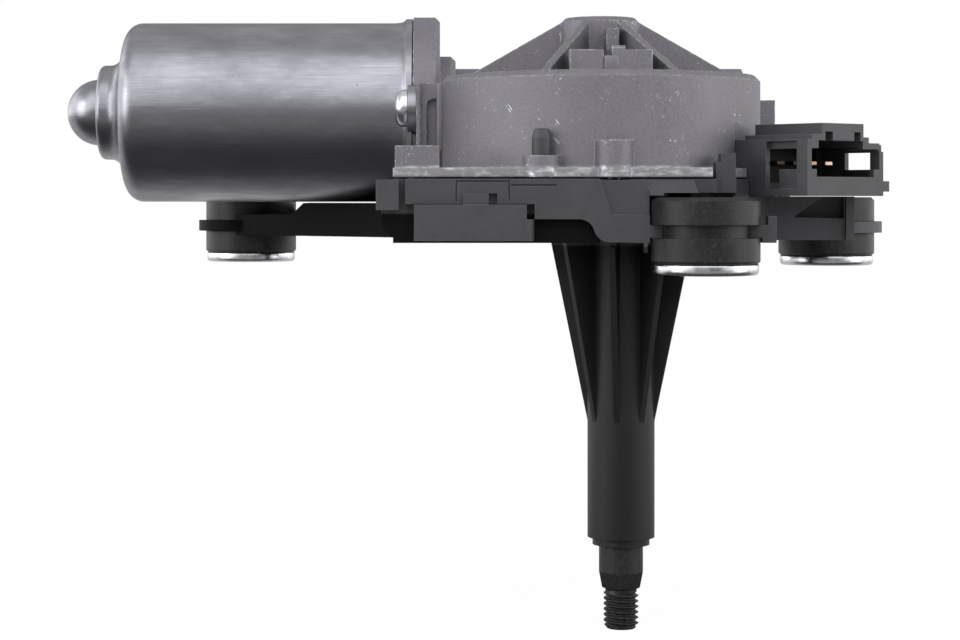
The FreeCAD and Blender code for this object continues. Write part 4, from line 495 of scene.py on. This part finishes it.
def die_cast_aluminium():
    """Mat grey with a coarse grain, scuffs on the brim, knocks on the edges and short nicks in
    two directions, in groups. The grain of such a casting is about 0.1 mm: it is drawn 0.45 mm
    wide so that it shows."""
    made, tree, shader, spot = new_material("die_cast_aluminium")
    grain = speckle(tree, spot, size=0.45 * MM, low=0.3, high=0.7)
    cloud = speckle(tree, spot, size=11 * MM, low=0.3, high=0.7, stretch=(1, 1, 0.5))
    edge = worn_edge(tree, radius=0.5 * MM, reach=0.8)
    knocks = speckle(tree, spot, size=1.6 * MM, low=0.46, high=0.6)
    place = add(tree, "SeparateXYZ", Vector=spot)
    brim = add(tree, "MapRange", Value=place.outputs["Z"], From_Min=BRIM_FADE,
               From_Max=BRIM_LEVEL)
    scuff = speckle(tree, spot, size=1.3 * MM, low=0.48, high=0.66, stretch=(0.4, 1, 1))
    scuffed = add(tree, "Math", operation="MULTIPLY", _0=scuff, _1=brim.outputs[0])
    slanted = add(tree, "Mapping", Vector=spot, Rotation=(0.4, 0.6, 0.3))
    stroke = speckle(tree, slanted.outputs[0], size=0.5 * MM, low=0.64, high=0.68,
                     stretch=(1, 1, 0.2))
    crossed = add(tree, "Mapping", Vector=spot, Rotation=(-0.9, -0.5, 0.2))
    other = speckle(tree, crossed.outputs[0], size=0.5 * MM, low=0.65, high=0.69,
                    stretch=(1, 1, 0.2))
    strokes = add(tree, "Math", operation="MAXIMUM", _0=stroke, _1=other)
    group = speckle(tree, spot, size=6 * MM, low=0.56, high=0.62)
    nick = add(tree, "Math", operation="MULTIPLY", _0=strokes.outputs[0], _1=group)
    tone = add(tree, "MixRGB", Fac=cloud, Color1=linear("#67656a"), Color2=linear("#77757b"))
    grained = add(tree, "MixRGB", Fac=grain, Color1=tone.outputs[0], Color2=linear("#88868c"))
    paler = add(tree, "Math", operation="MULTIPLY", _0=brim.outputs[0], _1=BRIM_SHARE)
    brimmed = add(tree, "MixRGB", Fac=paler.outputs[0], Color1=grained.outputs[0],
                  Color2=linear("#a7a5aa"))
    rub = add(tree, "Math", operation="MULTIPLY", _0=edge, _1=knocks)
    marks = add(tree, "Math", operation="MAXIMUM", _0=rub.outputs[0], _1=nick.outputs[0])
    bare = add(tree, "Math", operation="MAXIMUM", _0=marks.outputs[0], _1=scuffed.outputs[0])
    worn = add(tree, "MixRGB", Fac=bare.outputs[0], Color1=brimmed.outputs[0],
               Color2=linear("#c4c3c8"))
    cast_rough = add(tree, "MapRange", Value=grain, To_Min=0.52, To_Max=0.68)
    rough = add(tree, "MixRGB", Fac=bare.outputs[0], Color1=cast_rough.outputs[0],
                Color2=(BARE_ROUGHNESS, BARE_ROUGHNESS, BARE_ROUGHNESS, 1))
    tree.links.new(worn.outputs[0], shader.inputs["Base Color"])
    tree.links.new(rough.outputs[0], shader.inputs["Roughness"])
    shader.inputs["Metallic"].default_value = 0.75
    finish_surface(tree, shader, grain, distance=0.04 * MM, strength=0.5, edge=0.6 * MM)
    return made


cast = die_cast_aluminium()
dress(cast, "gear_housing")
# The foot of the front rib stands between the two pads, and a fillet fills the corner between
# the motor's neck and the drum. Both are given by two corners in millimetres.
CAST_BARS = (("hub_rib_foot", (-4.8, -13.3, 45.4), (-1.45, -4.0, 49.0)),
             ("neck_fillet", (-42.4, 16.6, 21.7), (-40.6, 22.5, 44.3)))
CAST_ROUND = 0.35 * MM
for name, low, high in CAST_BARS:
    piece = block(name, [c * MM for c in low], [c * MM for c in high], CAST_ROUND)
    piece.data.materials.append(cast)
    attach(piece, "housing")


# Motor can: a cup deep-drawn from steel sheet with a thin zinc coat, held to the housing by
# two ears and their screws. The drawing leaves fine lines along the can; stray dark specks
# and soft clouds of handling show in the highlight.
RELIEF_OF_LINES = 0.12


def drawn_steel():
    """Grey metal whose gloss is broken by lines along the can, clouds and a slow wave. Real
    drawing lines are about 0.05 mm apart: these are 0.45 mm apart so that they show."""
    made, tree, shader, spot = new_material("drawn_zinc_coated_steel")
    lines = speckle(tree, spot, size=0.45 * MM, low=0.3, high=0.7, stretch=(0.035, 1, 1),
                    detail=4.0)
    cloud = speckle(tree, spot, size=8 * MM, low=0.36, high=0.64, stretch=(0.5, 1, 1),
                    detail=4.0)
    speck = speckle(tree, spot, size=1.3 * MM, low=0.735, high=0.755)
    tone = add(tree, "MixRGB", Fac=lines, Color1=linear("#8e8f95"), Color2=linear("#a4a4ab"))
    clouded = add(tree, "MixRGB", Fac=cloud, Color1=linear("#85858c"), Color2=tone.outputs[0])
    marked = add(tree, "MixRGB", Fac=speck, Color1=clouded.outputs[0],
                 Color2=linear("#47474c"))
    rough = add(tree, "MapRange", Value=cloud, To_Min=0.38, To_Max=0.28)
    wave = speckle(tree, spot, size=3.5 * MM, low=0.2, high=0.8, stretch=(0.6, 1, 1))
    relief = add(tree, "MixRGB", Fac=RELIEF_OF_LINES, Color1=wave, Color2=lines)
    tree.links.new(marked.outputs[0], shader.inputs["Base Color"])
    tree.links.new(rough.outputs[0], shader.inputs["Roughness"])
    shader.inputs["Metallic"].default_value = 1.0
    finish_surface(tree, shader, relief.outputs[0], distance=0.07 * MM, strength=0.5,
                   edge=0.1 * MM)
    return made


# Levels run from the spindle's axis along the motor's, away from the housing.
CAN_RADIUS, CAN_WALL = 22.45 * MM, 1.6 * MM
BRIM_RADIUS, BRIM_LOW, BRIM_HIGH = 23.5 * MM, 48.3 * MM, 50.3 * MM
FLARE_END, FLARE_RISE = 53.2 * MM, 0.75 * MM
SHOULDER, FACE, FACE_RADIUS = 116.0 * MM, 120.4 * MM, 17.8 * MM
BOSS_RADIUS, BOSS_FOOT, BOSS_END, BOSS_ROUND = 11.85 * MM, 124.3 * MM, 126.9 * MM, 1.4 * MM
DOME_RADIUS, DOME_STEP, TIP, TIP_RADIUS = 8.3 * MM, 0.25 * MM, 135.35 * MM, 0.05 * MM
FLARE_STEPS, SIDE_STEPS, FOOT_STEPS = 8, 6, 12
# The inside, from the tip to the open end.
can_rows = [(TIP - CAN_WALL, TIP_RADIUS), (BOSS_END, DOME_RADIUS - CAN_WALL),
            (BOSS_END - 0.4 * MM, BOSS_RADIUS - CAN_WALL),
            (FACE - CAN_WALL, BOSS_RADIUS - CAN_WALL), (FACE - CAN_WALL, FACE_RADIUS - 1 * MM),
            (SHOULDER, CAN_RADIUS - CAN_WALL), (BRIM_LOW, CAN_RADIUS - CAN_WALL)]
# The brim and the flare that joins it to the side.
can_rows += [(BRIM_LOW, BRIM_RADIUS - 0.2 * MM), (BRIM_LOW + 0.2 * MM, BRIM_RADIUS),
             (BRIM_HIGH - 0.4 * MM, BRIM_RADIUS), (BRIM_HIGH, BRIM_RADIUS - 0.3 * MM)]
can_rows += [(FLARE_END - (FLARE_END - BRIM_HIGH) * math.sin(math.pi / 2 * i / FLARE_STEPS),
              CAN_RADIUS + FLARE_RISE * (1 - math.cos(math.pi / 2 * i / FLARE_STEPS)))
             for i in range(FLARE_STEPS, -1, -1)]
can_rows += [(SHOULDER - (SHOULDER - FLARE_END) * i / SIDE_STEPS, CAN_RADIUS)
             for i in range(SIDE_STEPS - 1, 0, -1)]
# The round shoulder, the hollow at the foot of the boss, the boss and the bearing's dome.
can_rows += quarter((SHOULDER, CAN_RADIUS), (FACE, FACE_RADIUS), steps=12)
can_rows += [(BOSS_FOOT - (BOSS_FOOT - FACE) * math.cos(math.pi / 2 * i / FOOT_STEPS),
              FACE_RADIUS - (FACE_RADIUS - BOSS_RADIUS) * math.sin(math.pi / 2 * i / FOOT_STEPS))
             for i in range(1, FOOT_STEPS + 1)]
can_rows += quarter((BOSS_END - BOSS_ROUND, BOSS_RADIUS), (BOSS_END, BOSS_RADIUS - BOSS_ROUND),
                    steps=6)
can_rows += [(BOSS_END, DOME_RADIUS + 0.3 * MM), (BOSS_END + DOME_STEP, DOME_RADIUS)]
can_rows += quarter((BOSS_END + DOME_STEP, DOME_RADIUS), (TIP, TIP_RADIUS), steps=14)[1:]
can = lathe("motor_can_shell", can_rows, around=192)
can.data.transform(Matrix.Translation((0, MOTOR_Y, MOTOR_Z)) @ TO_THE_LEFT)
EAR_HALF, EAR_THICK = 5.6 * MM, 2.0 * MM
EAR_ROOT, EAR_FACE = 22 * MM, -47.3 * MM
EAR_STEPS = 24


def ear(name, sign):
    """One of the can's two ears: a flat plate with a round end, as wide as its recess."""
    mesh = bmesh.new()
    outline = [(sign * EAR_ROOT, -EAR_HALF)]
    outline += [(sign * (EAR_REACH + EAR_HALF * math.cos(a)), EAR_HALF * math.sin(a))
                for a in [math.pi * (i / EAR_STEPS - 0.5) for i in range(EAR_STEPS + 1)]]
    outline += [(sign * EAR_ROOT, EAR_HALF)]
    plate = mesh.faces.new([mesh.verts.new((EAR_FACE, MOTOR_Y + y, MOTOR_Z + z))
                            for y, z in outline])
    raised = bmesh.ops.extrude_face_region(mesh, geom=[plate])["geom"]
    for item in raised:
        if isinstance(item, bmesh.types.BMVert):
            item.co.x -= EAR_THICK
    bmesh.ops.recalc_face_normals(mesh, faces=list(mesh.faces))
    return finished_piece(name, mesh, crease=35)


drawn = drawn_steel()
for piece in (can, ear("can_ear_front", -1), ear("can_ear_back", 1)):
    piece.data.materials.append(drawn)
    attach(piece, "housing")
    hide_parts("motor_can")


# Inner pieces of the drive, seen only when the housing is taken away. Each has the plain
# finish of its stock: machined, pressed, moulded or sintered.
def stock_finish(name, colour, light, metallic, roughness, grain):
    """A plain finish with a fine grain that shifts its colour and roughness a little. The grain
    is drawn about 0.5 mm wide, coarser than the real one, so that it shows."""
    made, tree, shader, spot = new_material(name)
    fine = speckle(tree, spot, size=grain, low=0.3, high=0.7)
    tone = add(tree, "MixRGB", Fac=fine, Color1=linear(colour), Color2=linear(light))
    rough = add(tree, "MapRange", Value=fine, To_Min=roughness - 0.05, To_Max=roughness + 0.07)
    tree.links.new(tone.outputs[0], shader.inputs["Base Color"])
    tree.links.new(rough.outputs[0], shader.inputs["Roughness"])
    shader.inputs["Metallic"].default_value = metallic
    finish_surface(tree, shader, fine, distance=0.01 * MM, strength=0.3, edge=0.15 * MM)
    return made


# Each row gives the two colours, metallic, roughness and grain, and then the pieces.
TINNED_BRASS = ("#b49a80", "#cdb69a", 1.0, 0.3, 0.5 * MM)
INNER_FINISHES = {
    "ground_shaft_steel": (("#a9aaae", "#bfc0c4", 1.0, 0.25, 0.5 * MM),
                           ("armature_shaft", "pinion", "pivot_pin", "wheel_axle", "crank_pin",
                            "thrust_ball", "toothed_sector", "thrust_washer", "end_bearing")),
    "tinned_brass": (TINNED_BRASS, ("contact_ring", "park_contacts")),
    "sintered_bronze": (("#8f6f45", "#a5855a", 1.0, 0.45, 0.4 * MM),
                        ("upper_bush", "lower_bush", "front_bearing", "rear_bearing")),
    "enamelled_copper": (("#9c4a26", "#c06a3c", 0.8, 0.3, 0.7 * MM),
                         ("windings", "commutator", "chokes")),
    "moulded_acetal": (("#ddd9cd", "#eae7de", 0.0, 0.4, 0.6 * MM), ("worm_wheel",)),
    "ferrite": (("#2c2b2d", "#39383a", 0.0, 0.6, 0.5 * MM),
                ("magnet_upper", "magnet_lower", "brushes")),
    "stacked_electrical_steel": (("#5c5d61", "#75767a", 0.9, 0.5, 0.5 * MM),
                                 ("lamination_stack",)),
    "gasket_paper": (("#2d2b2a", "#3a3836", 0.0, 0.8, 0.5 * MM), ("housing_gasket",)),
    "moulded_polyester": (("#3b3a38", "#4a4946", 0.0, 0.5, 0.5 * MM), ("brush_holders",)),
}
for name, (finish, pieces) in INNER_FINISHES.items():
    dress(stock_finish(name, *finish), *pieces)


# Blades of the connector: four strips stamped from tinned brass and fixed in the socket's
# rear wall. The socket shades the two on the near side, so across the socket they go from a
# painted shade to the plain metal.
SHADE_END, LIT_START = 29.4 * MM, 30.6 * MM
ACROSS_THE_SOCKET = (-math.sin(PLUG_TURN), math.cos(PLUG_TURN), 0)
blades = stock_finish("painted_shade_brass_blades", *TINNED_BRASS)
blade_tree = blades.node_tree
blade_spot = add(blade_tree, "TexCoord").outputs["Object"]
across = add(blade_tree, "VectorMath", operation="DOT_PRODUCT", _0=blade_spot,
             _1=ACROSS_THE_SOCKET)
lit_share = add(blade_tree, "MapRange", Value=across.outputs["Value"], From_Min=SHADE_END,
            From_Max=LIT_START)
blade_shader = blade_tree.nodes["Principled BSDF"]
plain_brass = blade_shader.inputs["Base Color"].links[0].from_socket
# Painted shade: the blades on the near side are drawn dark.
painted_shade = add(blade_tree, "MixRGB", Fac=lit_share.outputs[0], Color1=linear("#2e2620"),
              Color2=plain_brass)
blade_tree.links.new(painted_shade.outputs[0], blade_shader.inputs["Base Color"])
dress(blades, "connector_terminals")

# Setting: a sheet of white paper just under the spindle's end, which glows a painted grey
# for metal to mirror. The object stands free, as in the photograph.
FLOOR_GAP = 0.2 * MM
FLOOR_SIDE = 3.0
floor_mesh = bmesh.new()
bmesh.ops.create_grid(floor_mesh, x_segments=1, y_segments=1, size=FLOOR_SIDE)
floor_data = bpy.data.meshes.new("floor")
floor_mesh.to_mesh(floor_data)
floor_mesh.free()
floor = bpy.data.objects.new("floor", floor_data)
floor.location.z = cad_low.z - FLOOR_GAP
bpy.context.scene.collection.objects.link(floor)
WHITE = (1, 1, 1, 1)
SEEN_WHITE_SHARE = 0.975


def pale_floor():
    """White paper. The camera sees nearly plain white, so that the shadow stays soft. For gloss
    the paper glows grey, a painted reflection: darkest in front of the object and pale behind
    it."""
    made, tree, shader, spot = new_material("pale_floor")
    fibre = speckle(tree, spot, size=30 * MM, low=0.3, high=0.7)
    tone = add(tree, "MixRGB", Fac=fibre, Color1=linear("#f2f2f2"), Color2=linear("#f6f6f6"))
    tree.links.new(tone.outputs[0], shader.inputs["Base Color"])
    shader.inputs["Roughness"].default_value = 0.9
    shader.inputs["Specular IOR Level"].default_value = 0.1
    ray = add(tree, "LightPath")
    place = add(tree, "SeparateXYZ", Vector=spot)
    # Painted reflection: for gloss the paper glows darker in front of the object and paler
    # behind.
    far = add(tree, "MapRange", Value=place.outputs["Y"], From_Min=0.03, From_Max=0.13)
    near = add(tree, "MapRange", Value=place.outputs["Y"], From_Min=-0.08, From_Max=-0.35,
               To_Min=0.09, To_Max=0.42)
    painted_reflection = add(tree, "MixRGB", Fac=far.outputs[0], Color1=near.outputs[0],
                 Color2=(0.72, 0.7, 0.69, 1))
    shine = add(tree, "MixRGB", Fac=ray.outputs["Is Camera Ray"], Color1=painted_reflection.outputs[0],
                Color2=WHITE)
    glow = add(tree, "Emission", Color=shine.outputs[0], Strength=1.0)
    seen = add(tree, "Math", operation="MULTIPLY", _0=ray.outputs["Is Camera Ray"],
               _1=SEEN_WHITE_SHARE)
    share = add(tree, "Math", operation="MAXIMUM", _0=seen.outputs[0],
                _1=ray.outputs["Is Glossy Ray"])
    mixed = add(tree, "MixShader", Fac=share.outputs[0], _1=shader.outputs[0],
                _2=glow.outputs[0])
    tree.links.new(mixed.outputs[0], tree.nodes["Material Output"].inputs["Surface"])
    return made


floor_data.materials.append(pale_floor())

# The room: an even level for mat surfaces. Gloss shows the white backdrop low down behind the
# object, a ceiling that grows paler upward, bright walls at both sides and a dim room on the
# camera's side. The camera sees plain white.
world = bpy.data.worlds.new("studio")
bpy.context.scene.world = world
world.use_nodes = True
room = world.node_tree
ground = room.nodes["Background"]
heading = add(room, "SeparateXYZ", Vector=add(room, "TexCoord").outputs["Generated"])
even = add(room, "MapRange", Value=heading.outputs["Z"], From_Min=-0.5, From_Max=0.9,
           To_Min=0.16, To_Max=0.8)
ceiling = add(room, "MapRange", Value=heading.outputs["Z"], From_Min=0.1, From_Max=0.8,
              To_Min=0.12, To_Max=0.72)
low_down = add(room, "MapRange", Value=heading.outputs["Z"], From_Min=0.02, From_Max=0.22,
               To_Min=0.75, To_Max=0.0)
behind = add(room, "MapRange", Value=heading.outputs["Y"], From_Min=0.0, From_Max=0.5)
backdrop = add(room, "Math", operation="MULTIPLY", _0=low_down.outputs[0],
               _1=behind.outputs[0])
left_wall = add(room, "MapRange", Value=heading.outputs["X"], From_Min=-0.42, From_Max=-0.8,
                To_Max=1.9)
right_wall = add(room, "MapRange", Value=heading.outputs["X"], From_Min=0.42, From_Max=0.8,
                 To_Max=1.6)
both_walls = add(room, "Math", operation="ADD", _0=left_wall.outputs[0],
                 _1=right_wall.outputs[0])
wall_height = add(room, "MapRange", Value=heading.outputs["Z"], From_Min=0.7, From_Max=0.4)
walls = add(room, "Math", operation="MULTIPLY", _0=both_walls.outputs[0],
            _1=wall_height.outputs[0])
middle = add(room, "Math", operation="ADD", _0=ceiling.outputs[0], _1=backdrop.outputs[0])
mirrored = add(room, "Math", operation="ADD", _0=middle.outputs[0], _1=walls.outputs[0])
room_ray = add(room, "LightPath")
lit = add(room, "MixRGB", Fac=room_ray.outputs["Is Glossy Ray"], Color1=even.outputs[0],
          Color2=mirrored.outputs[0])
shown = add(room, "MixRGB", Fac=room_ray.outputs["Is Camera Ray"], Color1=lit.outputs[0],
            Color2=WHITE)
room.links.new(shown.outputs[0], ground.inputs["Color"])
ground.inputs["Strength"].default_value = 1.0

# Lamps: three soft boxes, one high over the camera's side and a weaker one at each side.
MIDDLE = Vector((-0.03, 0.03, 0.0))


def softbox(name, place, wide, high, power):
    """A large soft lamp at a place in metres, turned to the middle of the object."""
    lamp = bpy.data.lights.new(name, "AREA")
    lamp.shape = "RECTANGLE"
    lamp.size = wide
    lamp.size_y = high
    lamp.energy = power
    stand = bpy.data.objects.new(name, lamp)
    stand.location = place
    stand.rotation_euler = (MIDDLE - Vector(place)).to_track_quat("-Z", "Y").to_euler()
    bpy.context.scene.collection.objects.link(stand)


softbox("softbox_over", place=(-0.08, -0.66, 0.64), wide=1.5, high=1.2, power=6.9)
softbox("softbox_left", place=(-0.95, -0.35, 0.15), wide=0.5, high=0.9, power=2.6)
softbox("softbox_right", place=(0.95, -0.25, 0.15), wide=0.5, high=0.9, power=2.6)

# Camera: level, at the spindle's side of the object, with the picture shifted so that the
# spindle's end shows at the bottom as in the photograph. AXIS is the pixel it looks at.
PICTURE_WIDTH, PICTURE_HEIGHT = 960, 640
FOCAL_PIXELS = 2262
AXIS_X, AXIS_Y = 440, 196
SENSOR_WIDTH = 36.0
CAMERA_PLACE = (-41.6 * MM, -520 * MM, 17.4 * MM)
eye = bpy.data.cameras.new("camera")
eye.sensor_width = SENSOR_WIDTH
eye.lens = FOCAL_PIXELS / PICTURE_WIDTH * SENSOR_WIDTH
eye.shift_x = (PICTURE_WIDTH / 2 - AXIS_X) / PICTURE_WIDTH
eye.shift_y = -(PICTURE_HEIGHT / 2 - AXIS_Y) / PICTURE_WIDTH
camera = bpy.data.objects.new("camera", eye)
camera.location = CAMERA_PLACE
camera.rotation_euler = (math.radians(90), 0, 0)
bpy.context.scene.collection.objects.link(camera)
bpy.context.scene.camera = camera
bpy.context.scene.view_settings.view_transform = "Standard"
